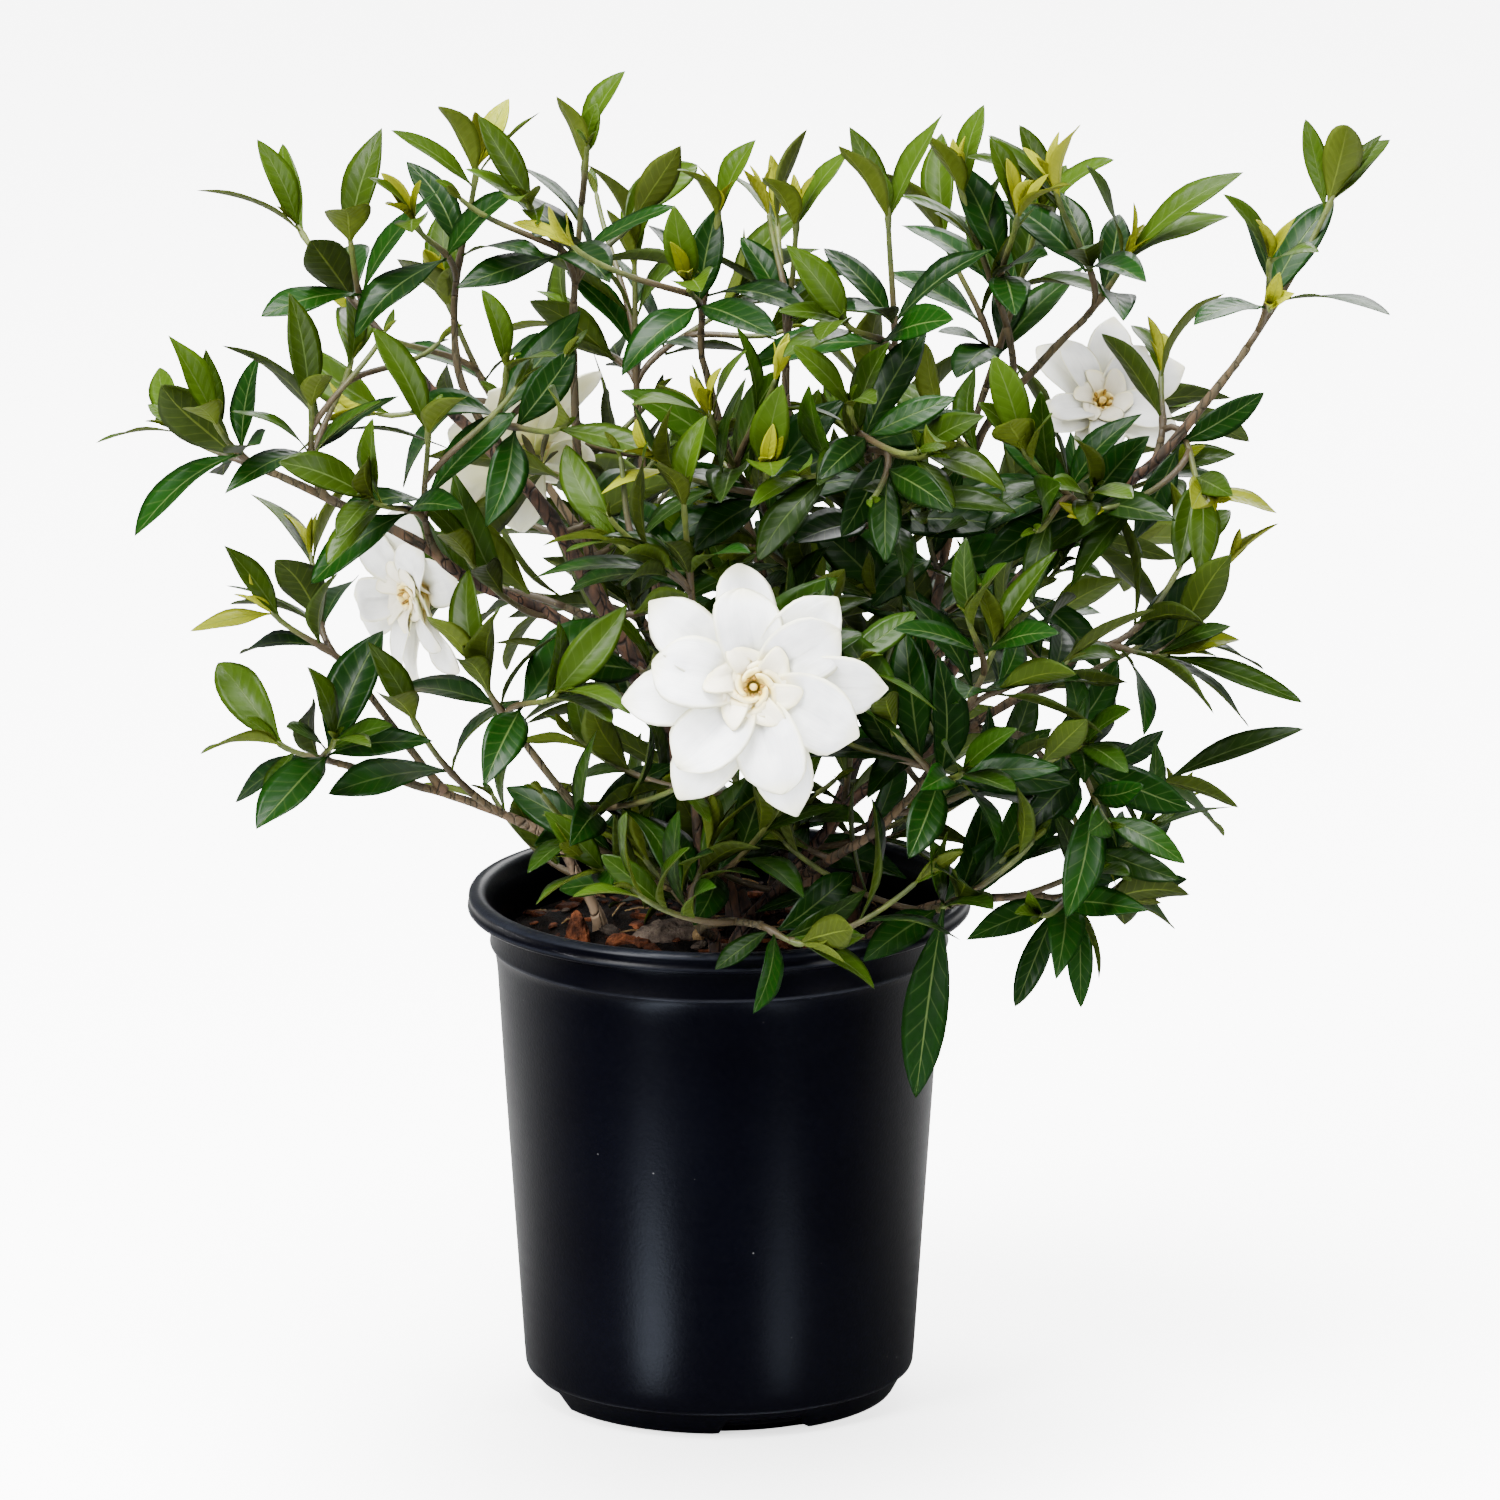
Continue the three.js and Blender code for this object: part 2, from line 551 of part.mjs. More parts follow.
// Leaves: those that reach a known point are placed first, so that they get their room
function placeLeaves(shoots, thicket) {
  const settle = (shoot, makeTry, tries) => {
    for (let attempt = 0; attempt < tries; attempt += 1) {
      const blade = makeTry(attempt);
      const guard = guardSolid(blade);
      const clearOfOwn = shoot.guards.every((own) => guard.intersect(own).isEmpty());
      if (clearOfOwn && thicket.isClear(guard, shoot.name)) {
        shoot.guards.push(guard);
        shoot.blades.push(blade);
        thicket.add(guard, shoot.name);
        return;
      }
    }
  };
  shoots.forEach((shoot) => (shoot.spec.reach ?? []).forEach((reach, i) => {
    const axis = shoot.axes[reach[0]];
    settle(shoot, (attempt) => reachingLeaf(axis, reach, shoot.seed * 10 + i, attempt), LEAF_TRIES);
  }));
  const rounds = Math.max(...shoots.flatMap((shoot) => shoot.axes.map((axis) => axis.whorls.length)));
  for (let round = 1; round <= rounds; round += 1) {
    shoots.forEach((shoot) => shoot.axes.forEach((axis, number) => {
      const k = axis.whorls.length - round;
      if (k < 0) return;
      const seed = shoot.seed * 10 + number;
      const count = draw(seed, k, 4) < THREE_LEAF_SHARE ? 3 : 2;
      for (let j = 0; j < count; j += 1) {
        const place = { whorl: axis.whorls[k], k, j, count };
        settle(shoot, (attempt) => whorlLeaf(axis, place, seed, attempt), LEAF_TRIES);
      }
    }));
  }
}

// Blooms
function petalOutline(share) {
  return Math.max(0.2, Math.sin(Math.PI * share ** 1.5)) ** 0.6;
}

function petal({ centre, axis, u, v }, shape) {
  const { angle, length, halfWidth, lift, twist = 0, roll, height, inset, fine } = shape;
  const outward = u.clone().multiplyScalar(Math.cos(angle)).addScaledVector(v, Math.sin(angle));
  const round = axis.clone().cross(outward);
  const heading = outward.clone().multiplyScalar(Math.cos(twist)).addScaledVector(round, Math.sin(twist));
  const along = heading.multiplyScalar(Math.cos(lift)).addScaledVector(axis, Math.sin(lift));
  const root = centre.clone().addScaledVector(outward, inset).addScaledVector(axis, height);
  const normal = axis.clone().addScaledVector(along, -axis.dot(along)).normalize();
  normal.applyAxisAngle(along, roll);
  return bladeSolid({
    root, along, normal, length, halfWidth,
    arch: lift > 0.7 ? -0.25 : 0.1,
    fold: PETAL_FOLD,
    thickness: PETAL_THICKNESS,
    outline: petalOutline,
    stations: fine ? [0, 0.4, 0.76, 0.94, 1] : [0, 0.42, 0.82, 1],
  });
}

function roundRing(place, radius, height, sides) {
  return Array.from({ length: sides }, (_, k) => {
    const angle = (2 * Math.PI * (k + 0.5)) / sides;
    return place.centre.clone()
      .addScaledVector(place.u, radius * Math.cos(angle))
      .addScaledVector(place.v, radius * Math.sin(angle))
      .addScaledVector(place.axis, height);
  });
}

function bloomPlace(number) {
  const { centre, axis } = bloomBase(number);
  const u = UP.clone().cross(axis).normalize();
  return { centre, axis, u, v: axis.clone().cross(u) };
}

function evenWhorl(count, radius, seed, start) {
  return Array.from({ length: count }, (_, i) => [
    start + (360 * i) / count + (draw(seed, i, 5) - 0.5) * 14,
    radius * (0.93 + 0.12 * draw(seed, i, 6)),
  ]);
}

function bloomSolid(number) {
  const spec = BLOOMS[number];
  const place = bloomPlace(number);
  const large = number === "1";
  const seed = Number(number);
  const outer = spec.outer ?? evenWhorl(OUTER_WHORL.petals, spec.radius, seed, 20);
  const inner = spec.inner
    ?? evenWhorl(INNER_WHORL.petals, spec.radius * INNER_WHORL.reach, seed + 10, 50);
  const lift = degrees(spec.lift);
  const solids = [skin([
    roundRing(place, BOSS.radius * 0.8, -BOSS.depth, BOSS.sides),
    roundRing(place, BOSS.radius, 0, BOSS.sides),
    roundRing(place, BOSS.radius * 0.72, BOSS.rise, BOSS.sides),
  ])];
  outer.forEach(([angle, length]) => solids.push(petal(place, {
    angle: degrees(angle), length, halfWidth: spec.radius * OUTER_WHORL.halfWidth, lift,
    roll: PETAL_ROLL, height: OUTER_WHORL.height, inset: OUTER_WHORL.inset, fine: large,
  })));
  inner.forEach(([angle, length]) => solids.push(petal(place, {
    angle: degrees(angle), length, halfWidth: spec.radius * INNER_WHORL.halfWidth,
    lift: lift + degrees(INNER_WHORL.lift), roll: PETAL_ROLL,
    height: INNER_WHORL.height, inset: INNER_WHORL.inset, fine: large,
  })));
  const swirl = large ? SWIRL.large : SWIRL.small;
  for (let i = 0; i < swirl; i += 1) {
    solids.push(petal(place, {
      angle: (2 * Math.PI * i) / swirl, length: spec.radius * SWIRL.length,
      halfWidth: spec.radius * SWIRL.halfWidth, lift: degrees(SWIRL.lift),
      twist: degrees(SWIRL.twist), roll: PETAL_ROLL * 2, height: SWIRL.height, inset: SWIRL.inset,
    }));
  }
  return unite(solids);
}

// The yellow heart: a star of anthers that opens upwards round a short style
function heartSolid(number) {
  const place = bloomPlace(number);
  const foot = BOSS.rise + GAP;
  const star = (low, high, height) => Array.from({ length: HEART.points * 2 }, (_, k) => {
    const angle = (Math.PI * k) / HEART.points;
    const radius = k % 2 ? low : high;
    return place.centre.clone()
      .addScaledVector(place.u, radius * Math.cos(angle))
      .addScaledVector(place.v, radius * Math.sin(angle))
      .addScaledVector(place.axis, foot + height);
  });
  return skin([
    star(HEART.radius * 0.6, HEART.radius, 0),
    star(HEART.radius * 0.6, HEART.spread, HEART.height * 0.8),
    [place.centre.clone().addScaledVector(place.axis, foot + HEART.height)],
  ]);
}

// Pot: one skin turned round the axis, trimmed flat below, with drain notches at the foot's corner
function turned(profile) {
  const points = profile.map(([radius, height]) => new THREE.Vector2(radius, height));
  const geometry = new THREE.LatheGeometry(points, POT_SIDES);
  geometry.rotateX(Math.PI / 2);
  return solidFromGeometry(geometry);
}

function block(width, depth, height, place) {
  const geometry = new THREE.BoxGeometry(width, depth, height);
  geometry.applyMatrix4(place);
  return solidFromGeometry(geometry);
}

function potSolid() {
  let pot = turned([
    [0, -1], [BASE_RADIUS, -1], [84.3, 10], [90.8, 12.5], [100.2, 149.5], [102.8, 203], [106.5, 217],
    [106.8, 229.5], [116.6, 230.5], [RIM_RADIUS, 237], [114.2, POT_HEIGHT], [110, POT_HEIGHT],
    [105.2, 232], [88.4, 14.5], [82, 8.5], [81.2, FLOOR_THICKNESS], [0, FLOOR_THICKNESS],
  ]);
  const below = new THREE.Matrix4().makeTranslation(0, 0, -5);
  pot = pot.subtract(block(RIM_RADIUS * 2, RIM_RADIUS * 2, 10, below));
  for (let i = 0; i < NOTCH.count; i += 1) {
    const turn = new THREE.Matrix4().makeRotationZ(degrees(NOTCH.first + (360 * i) / NOTCH.count));
    const out = BASE_RADIUS + NOTCH.reach / 2 - NOTCH.depth;
    const place = turn.multiply(new THREE.Matrix4().makeTranslation(out, 0, 0));
    pot = pot.subtract(block(NOTCH.reach, NOTCH.width, NOTCH.height * 2, place));
  }
  return pot;
}

// Soil: fills the pot a little clear of its wall, with a low mound, bumps by a formula and plain holes
function soilRelief(x, y) {
  const mound = SOIL_MOUND * (1 - Math.hypot(x, y) / 110);
  return mound + 1.3 * Math.sin(x * 0.11 + 1) * Math.cos(y * 0.13) + 0.8 * Math.sin(x * 0.23 - y * 0.19);
}

function soilSolid() {
  const ring = (radius, height, rough) => Array.from({ length: POT_SIDES }, (_, k) => {
    const angle = (2 * Math.PI * k) / POT_SIDES;
    const x = radius * Math.sin(angle);
    const y = radius * Math.cos(angle);
    return new THREE.Vector3(x, y, height + (rough ? soilRelief(x, y) : 0));
  });
  const floor = FLOOR_THICKNESS + GAP;
  let soil = skin([
    [new THREE.Vector3(0, 0, floor)],
    ring(80.7, floor), ring(81.5, 9), ring(103.2, SOIL_LEVEL - 2), ring(84, SOIL_LEVEL, true),
    ring(48, SOIL_LEVEL, true),
    [new THREE.Vector3(0, 0, SOIL_LEVEL + soilRelief(0, 0))],
  ]);
  Object.values(WOOD).forEach(([limb]) => {
    soil = soil.subtract(holeSolid(limb));
  });
  return soil;
}

// Materials
const MATERIALS = {
  pot_plastic: { color: 0x10131b, roughness: 0.38, metalness: 0 },
  soil: { color: 0x241610, roughness: 0.95, metalness: 0 },
  bark: { color: 0x54392a, roughness: 0.85, metalness: 0 },
  leaf: { color: 0x1f4a16, roughness: 0.35, metalness: 0 },
  petal: { color: 0xf3f1ea, roughness: 0.55, metalness: 0 },
  heart: { color: 0xd9b23c, roughness: 0.7, metalness: 0 },
};

const plant = new THREE.Group();

function addNode(name, material, solid) {
  const { vertProperties, triVerts } = solid.getMesh();
  const geometry = new THREE.BufferGeometry();
  geometry.setAttribute("position", new THREE.BufferAttribute(new Float32Array(vertProperties), 3));
  geometry.setIndex(new THREE.BufferAttribute(new Uint32Array(triVerts), 1));
  geometry.computeVertexNormals();
  const mesh = new THREE.Mesh(geometry, new THREE.MeshStandardMaterial(MATERIALS[material]));
  mesh.name = name;
  plant.add(mesh);
}

// Assembly
const shoots = SHOOTS.map((spec, i) => ({
  name: `shoot_${String(i + 1).padStart(2, "0")}`,
  spec,
  seed: i + 1,
  axes: shootAxes(spec),
  blades: [],
  guards: [],
}));
const pot = potSolid();
const soil = soilSolid();
const thicket = new Thicket();
thicket.add(pot, "pot");
thicket.add(soil, "soil");
addNode("pot", "pot_plastic", pot);
addNode("soil", "soil", soil);

Object.entries(WOOD).forEach(([name, limbs]) => {
  const pieces = limbs.map((limb) => limbSolid(limb));
  shoots.filter((shoot) => shoot.spec.wood === name).forEach(({ spec, axes }) => {
    const { radii } = limbs[spec.limb];
    pieces.push(twigSolid(axes[0], lerp(radii[0], radii[1], spec.at)));
  });
  pieces.forEach((piece) => thicket.add(piece, name));
  addNode(name, "bark", unite(pieces));
});

Object.keys(BLOOMS).forEach((number) => {
  const bloom = bloomSolid(number);
  const heart = heartSolid(number);
  thicket.add(bloom, `bloom_${number}`);
  addNode(`bloom_${number}`, "petal", bloom);
  addNode(`heart_${number}`, "heart", heart);
});

shoots.forEach((shoot) => {
  shoot.stems = shoot.axes.map(axisSolid);
  shoot.stems.forEach((solid) => thicket.add(solid, shoot.name));
});
placeLeaves(shoots, thicket);
shoots.forEach((shoot) => {
  addNode(shoot.name, "leaf", unite([...shoot.stems, ...shoot.blades.map((blade) => bladeSolid(blade))]));
});

export default plant;
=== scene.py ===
import math

import bpy
import numpy as np
from mathutils import Matrix, Vector, noise
from mathutils.kdtree import KDTree


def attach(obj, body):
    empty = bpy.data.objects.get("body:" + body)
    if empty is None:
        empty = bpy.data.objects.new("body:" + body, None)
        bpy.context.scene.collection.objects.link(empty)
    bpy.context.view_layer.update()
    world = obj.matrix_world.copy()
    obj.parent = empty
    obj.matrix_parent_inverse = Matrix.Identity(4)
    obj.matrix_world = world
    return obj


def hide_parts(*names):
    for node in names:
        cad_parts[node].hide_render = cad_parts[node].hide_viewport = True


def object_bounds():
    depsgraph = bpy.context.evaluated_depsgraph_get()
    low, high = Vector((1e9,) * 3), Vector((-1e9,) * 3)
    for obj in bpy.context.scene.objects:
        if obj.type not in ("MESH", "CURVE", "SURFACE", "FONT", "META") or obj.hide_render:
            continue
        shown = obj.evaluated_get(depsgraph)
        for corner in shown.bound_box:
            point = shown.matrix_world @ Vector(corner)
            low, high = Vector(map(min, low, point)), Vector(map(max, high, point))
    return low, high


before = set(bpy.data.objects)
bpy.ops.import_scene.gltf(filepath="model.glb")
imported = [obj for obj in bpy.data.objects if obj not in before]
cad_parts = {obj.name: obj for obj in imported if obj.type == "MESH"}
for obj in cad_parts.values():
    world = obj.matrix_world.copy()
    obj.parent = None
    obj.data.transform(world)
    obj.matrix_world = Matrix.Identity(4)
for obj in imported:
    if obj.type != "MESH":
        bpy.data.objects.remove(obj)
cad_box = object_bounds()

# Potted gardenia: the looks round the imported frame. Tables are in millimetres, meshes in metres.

MM = 0.001
ACROSS = np.array([1.0, 0.0, 0.0])
INWARD = np.array([0.0, 1.0, 0.0])
UP = np.array([0.0, 0.0, 1.0])
PLAIN_TONE = (0.5, 0.5, 0.5)

# Camera: the photo's plane goes through the pot's axis
PHOTO_MM = 699.0
CAMERA_DISTANCE = 9000.0
CAMERA_ELEVATION = 15.0
CAMERA_AIM = (14.4, 0.0, 308.7)
SENSOR = 36.0
APPARENT_RISE = 0.268  # how much higher a point shows for each millimetre further back

# Pot and soil
POT_HEIGHT = 242.0
POT_SIDES = 160
NOTCH_COUNT = 4
NOTCH_FIRST = -75.0
NOTCH_HALF = 19.5
NOTCH_HEIGHT = 7.0
NOTCH_SLOPE = 2.4
BASE_ARC = 81.5
SOIL_LEVEL = 218.0
SOIL_MOUND = 5.0
SOIL_RADIUS = 103.6
STEM_DEPTH = 14.0
STEM_COLLAR = 8.0
GAP = 0.35

# Leaves and shoots: the same rule as the part's, so that each fine leaf stands in its solid
LEAF_LENGTH = 59.0
LEAF_SLENDERNESS = 0.18
LEAF_PITCH = (62.0, 26.0, 22.0)
LEAF_SPREAD = 26.0
LEAF_TURN = 17.0
LEAF_RISE = 0.12
SHORT_LEAF_FROM = 8
SHORT_LEAF = 0.72
THREE_LEAF_SHARE = 0.2
LEAF_TRIES = 12
CORNER_MATCH = 1.5e-4
ROOT_SINK = 0.4
LIMB_END = 0.9999
WHORL_SPACING = 34.0
WHORL_PLACE = (0.6, 0.85)
BLOOM_LEAF_END = 0.8
FORK_START = 0.04
GREEN_RADIUS = 1.7
TIP_RADIUS = 1.2
TWIG_END_RADIUS = 1.9
BUD_LENGTH = 4.0
STEM_SIDES = 9

# Added leaves and twigs
LEAF_SEEDS, TWIG_SEEDS, LIMB_SEEDS = 1000, 2000, 3000
AXIS_LEAF_SPACING, TWIG_LEAF_SPACING = 27, 19
LEAF_DENSITY = 0.78
LEAF_MARGIN = 2
LEAF_CLEARANCE = 5.5
ADDED_TRIES = 5
TWIG_TRIES = 6
TWIG_DENSITY = 0.62
TWIG_REACH = 58.0
TWIG_MARGIN = 18
TWIG_CLEARANCE = 13
TWIG_LOWEST = 250
LIMB_TWIG_SPACING = 34.0
LIMB_TWIG_CLEARANCE = 12
LIMB_TWIG_HEIGHTS = (238, 420)
LIMB_TWIG_MIDDLE = 40
LIMB_TWIG_SPAN = 150
RIM_HEIGHT = 262
RIM_RADIUS = 88

# Blooms
BOSS_DEPTH = 3.0
BOSS_RISE = 1.6
FRONT_RADIUS = 59
PETAL_ROLL = 0.22
BLOOM_AIR = (-7, 60)
BLOOM_EDGE = 0.97

WOOD = {
    "wood_01": [
        ([(10, 12), (-4, 10, 267), (-14, 8, 289), (-33, 6, 337), (-58, 6, 384), (-81, 2, 424),
          (-98, -2, 445), (-130, -8, 480), (-148, -12, 502)], (6.2, 2.2)),
        ([(-33, 6, 337), (-74, -14, 375), (-116, -28, 398), (-139, -34, 417), (-181, -36, 439),
          (-204, -36, 450)], (3.4, 1.8)),
        ([(-58, 6, 384), (-65, 16, 435), (-68, 22, 500)], (2.6, 1.8)),
        ([(-98, -2, 445), (-119, 8, 482), (-123, 14, 512)], (2.2, 1.7)),
    ],
    "wood_02": [
        ([(26, 28), (32, 32, 285), (38, 30, 350), (34, 26, 420), (31, 20, 475)], (4.4, 2)),
        ([(36, 31, 330), (10, 38, 420), (-8, 30, 490)], (2.5, 1.7)),
        ([(38, 30, 350), (62, 2, 410), (80, -14, 478)], (2.5, 1.8)),
    ],
    "wood_03": [
        ([(10, -24), (38, -27, 262), (66, -30, 296), (110, -36, 326), (150, -40, 352),
          (172, -42, 370)], (3.6, 1.8)),
        ([(24, -26, 246), (48, -52, 268), (74, -78, 292), (96, -94, 322), (110, -98, 346)],
         (2.6, 1.8)),
    ],
    "wood_04": [
        ([(62, 28), (82, 26, 290), (120, 18, 360), (170, 10, 420), (201, 4, 445), (224, 2, 473),
          (240, 2, 494)], (4.2, 1.9)),
        ([(92, 24, 310), (106, 42, 395), (122, 38, 450), (150, 28, 488), (170, 24, 510)],
         (2.6, 1.7)),
    ],
    "wood_05": [
        ([(66, -46), (86, -55, 243), (106, -62, 252), (132, -60, 254), (148, -58, 254)],
         (2.8, 1.9)),
    ],
    "wood_06": [
        ([(-56, 0), (-67, -5, 251), (-78, -8, 268), (-111, -15, 286), (-149, -22, 300),
          (-174, -28, 309)], (3, 1.8)),
        ([(-128, -18, 293), (-150, -15, 322), (-172, -12, 352)], (2, 1.6)),
    ],
    "wood_07": [
        ([(-14, 60), (-22, 88, 300), (-32, 112, 372), (-38, 128, 430)], (4, 2)),
        ([(-26, 98, 330), (-70, 116, 390), (-98, 124, 430)], (2.5, 1.8)),
    ],
    "wood_08": [
        ([(42, 62), (72, 88, 300), (100, 106, 370), (118, 118, 430)], (4, 2)),
        ([(72, 88, 300), (118, 112, 340), (150, 122, 370)], (2.4, 1.8)),
    ],
    "wood_09": [
        ([(-2, -48), (-10, -66, 290), (-12, -78, 350), (-12, -84, 395)], (3, 1.9)),
        ([(-4, -52, 242), (-36, -58, 270), (-66, -62, 298), (-94, -64, 335)], (2.4, 1.8)),
        ([(-2, -49, 232), (-8, -76, 243), (4, -98, 253), (18, -114, 256)], (2.3, 1.7)),
    ],
}

PALE_WOOD = "wood_06"  # its bark is pale low down

# Wood, limb, how far along it, bare share, tips, leaves that reach a point, bloom
SHOOTS = [
    ("wood_01", 1, 1, 0.1, [(-250, -16, 466), (-232, -50, 478)],
     [(0, 1, (-265, -4, 476), 5), (0, 0.6, (-237, -30, 509), 7)], 0),
    ("wood_01", 0, 1, 0.15, [(-195, 15, 556), (-170, -34, 562)], [(0, 1, (-214, 14, 598), 7.5)], 0),
    ("wood_01", 3, 1, 0.15, [(-112, 4, 586), (-140, -36, 570)],
     [(0, 1, (-97, 20, 616), 6.5), (0, 0.85, (-152, 6, 604), 5.5)], 0),
    ("wood_01", 2, 1, 0.2, [(-62, 10, 590), (-88, -28, 578), (-38, 34, 556)],
     [(0, 1, (-56, 6, 617), 6)], 0),
    ("wood_01", 1, 0.8, 0.25, [(-188, -60, 490), (-170, -10, 498)], [], 0),
    ("wood_01", 1, 0.52, 0.2, [(-134, -66, 480), (-160, -82, 450)], [], 0),
    ("wood_01", 0, 0.78, 0.25, [(-98, -52, 505), (-74, -60, 478)], [], 0),
    ("wood_02", 1, 1, 0.15, [(0, 4, 566), (-14, -34, 540)], [], 0),
    ("wood_02", 0, 1, 0.15, [(36, -6, 565), (27, 50, 551)], [], 0),
    ("wood_02", 2, 1, 0.15, [(78, -26, 574), (58, -58, 528)], [(0, 1, (60, -16, 611), 6.5)], 0),
    ("wood_02", 0, 0.68, 0.3, [(-4, -66, 486), (22, -74, 462)], [], 0),
    ("wood_02", 2, 0.7, 0.25, [(60, -80, 494), (96, -78, 470)], [], 0),
    ("wood_04", 1, 1, 0.1, [(188, 12, 540), (156, 6, 574)], [(0, 1, (243, 2, 585), 8)], 0),
    ("wood_04", 0, 1, 0.1, [(284, 0, 574), (254, -34, 552)],
     [(0, 1, (307, 2, 603), 4.5), (0, 0.9, (271, 4, 610), 5.5)], 0),
    ("wood_04", 1, 0.62, 0.35, [(112, 16, 574), (138, -14, 568)], [], 0),
    ("wood_08", 0, 1, 0.2, [(150, 68, 552), (104, 112, 530)], [], 0),
    ("wood_04", 0, 0.72, 0.25, [(206, 44, 478), (224, -30, 440)], [(1, 1, (259, -22, 428), 7)], 0),
    ("wood_04", 0, 0.55, 0.25, [(172, -50, 446), (140, -66, 470)], [], 0),
    ("wood_03", 0, 1, 0.15, [(206, -44, 366), (214, -20, 402)],
     [(0, 1, (271, -40, 342), 7), (0, 0.9, (237, -60, 384), 6)], 0),
    ("wood_03", 0, 0.68, 0.3, [(206, -26, 300), (168, -72, 330)], [(0, 1, (272, -30, 327), 8)], 0),
    ("wood_05", 0, 1, 0.1, [(180, -52, 250), (166, -84, 268)],
     [(0, 1, (218, -42, 258), 7), (0, 0.55, (168, -66, 202), 6), (0, 0.25, (137, -78, 206), 6.5)],
     0),
    ("wood_05", 0, 0.5, 0.3, [(104, -86, 257)], [(0, 1, (91, -92, 166), 11)], 0),
    ("wood_06", 0, 1, 0.1, [(-204, -32, 320), (-178, -62, 330)],
     [(0, 1, (-220, -36, 334), 5), (0, 0.7, (-212, -30, 294), 5)], 0),
    ("wood_06", 1, 1, 0.1, [(-207, -14, 378), (-190, 20, 396)],
     [(0, 1, (-246, -16, 370), 6), (0, 0.9, (-230, -10, 410), 7.5)], 0),
    ("wood_06", 0, 0.62, 0.25, [(-142, -58, 340)], [], 0),
    ("wood_09", 1, 1, 0.1, [(-112, -70, 366), (-74, -100, 362)], [], 0),
    ("wood_09", 0, 1, 0.1, [(-16, -98, 452), (-48, -88, 432)], [], 0),
    ("wood_09", 0, 0.7, 0.3, [], [], 1),
    ("wood_01", 2, 0.4, 0.3, [], [], 2),
    ("wood_01", 0, 0.5, 0.3, [], [], 3),
    ("wood_04", 0, 0.5, 0.3, [], [], 4),
    ("wood_03", 1, 1, 0.1, [(128, -106, 390), (160, -80, 372)], [], 0),
    ("wood_03", 1, 0.7, 0.2, [(112, -128, 332), (80, -120, 352)], [], 0),
    ("wood_09", 2, 0.35, 0.2, [(-34, -74, 276), (-4, -82, 284)], [], 0),
    ("wood_09", 2, 1, 0.1, [(38, -126, 250)],
     [(0, 0.7, (66, -124, 254), 6.5), (0, 0.2, (-2, -128, 238), 6)], 0),
    ("wood_07", 0, 1, 0.15, [(-40, 128, 520), (-70, 168, 470), (8, 150, 490)], [], 0),
    ("wood_07", 1, 1, 0.1, [(-128, 108, 500), (-160, 120, 440)], [], 0),
    ("wood_07", 0, 0.5, 0.3, [(-60, 176, 390), (-110, 158, 350)], [], 0),
    ("wood_08", 0, 0.62, 0.25, [(70, 176, 440), (30, 172, 390)], [], 0),
    ("wood_08", 1, 1, 0.1, [(196, 118, 430), (186, 146, 370)], [], 0),
    ("wood_08", 0, 0.34, 0.3, [(84, 170, 320), (124, 166, 350)], [], 0),
]

# Shoots whose newest leaves are yellow-green
YOUNG_SHOOTS = {3, 8, 9, 11, 13, 14, 15, 17, 19, 21, 24, 34, 35, 37, 40}

BLOOMS = {
    1: {"centre": (16, -132, 374), "facing": (0, -0.966, 0.259), "radius": 59, "lift": 6},
    2: {"centre": (-88, 62, 434), "facing": (-0.45, 0.7, 0.35), "radius": 50, "lift": 16},
    3: {"centre": (-140, 26, 378), "facing": (-0.75, -0.5, -0.1), "radius": 48, "lift": 14},
    4: {"centre": (178, 64, 458), "facing": (0.15, -0.75, 0.6), "radius": 40, "lift": 26},
}

# Front bloom's petals: angle, length, half width, the tip's swing aside, how round the tip is
FRONT_OUTER = [(94, 56.5, 13.8, -0.12, 0.7), (49, 56, 14.2, 0.16, 0.1),
               (1, 61.5, 14.0, 0.1, 0.05), (-70, 62.5, 14.0, 0.1, 0.05),
               (-121, 61.5, 14.4, 0.22, 0.2), (186, 60.5, 14.0, 0.0, 0.2),
               (143, 61.5, 14.6, 0.14, 0.1)]
FRONT_INNER = [(92, 45, 16.0, -0.2, 0.8), (36, 47, 15.6, 0.16, 0.15),
               (-22, 53, 16.6, 0.22, 0.1), (-77, 50.5, 16.0, -0.1, 0.5),
               (-130, 50.5, 16.0, 0.2, 0.25), (165, 47.5, 16.8, -0.1, 0.4)]

# The crown's outline as seen from the front: across and apparent height
CROWN = [
    (-218, 603), (-199, 598), (-179, 581), (-156, 580), (-156, 613), (-130, 608), (-115, 625),
    (-95, 626), (-92, 594), (-73, 598), (-62, 620), (-44, 613), (-27, 579), (-22, 544),
    (-9, 585), (19, 585), (40, 580), (59, 613), (84, 589), (101, 603), (136, 602), (166, 598),
    (196, 583), (201, 562), (243, 588), (245, 579), (215, 544), (243, 568), (264, 567),
    (270, 610), (287, 598), (309, 604), (292, 531), (262, 502), (236, 468), (259, 420),
    (239, 398), (237, 367), (272, 333), (272, 316), (226, 266), (219, 245), (189, 222),
    (169, 184), (131, 184), (111, 206), (107, 171), (91, 136), (79, 169), (87, 203), (19, 195),
    (-14, 205), (-74, 215), (-93, 260), (-135, 285), (-172, 289), (-213, 291), (-200, 303),
    (-221, 324), (-195, 338), (-227, 359), (-247, 366), (-229, 381), (-232, 410), (-200, 412),
    (-219, 427), (-247, 456), (-267, 456), (-265, 479), (-235, 474), (-237, 502), (-195, 504),
    (-195, 540), (-215, 572)
]


def draw(a, b, c):
    """Seeded draw from three whole numbers, 0 to 1."""
    value = math.sin(a * 12.9898 + b * 78.233 + c * 37.719) * 43758.5453
    return value - math.floor(value)


def unit(vector):
    return vector / np.linalg.norm(vector)


def lerp(a, b, share):
    return a + (b - a) * share


def spread(value, centre, span):
    """A draw from 0 to 1 turned into centre plus or minus half of span."""
    return centre + (value - 0.5) * span


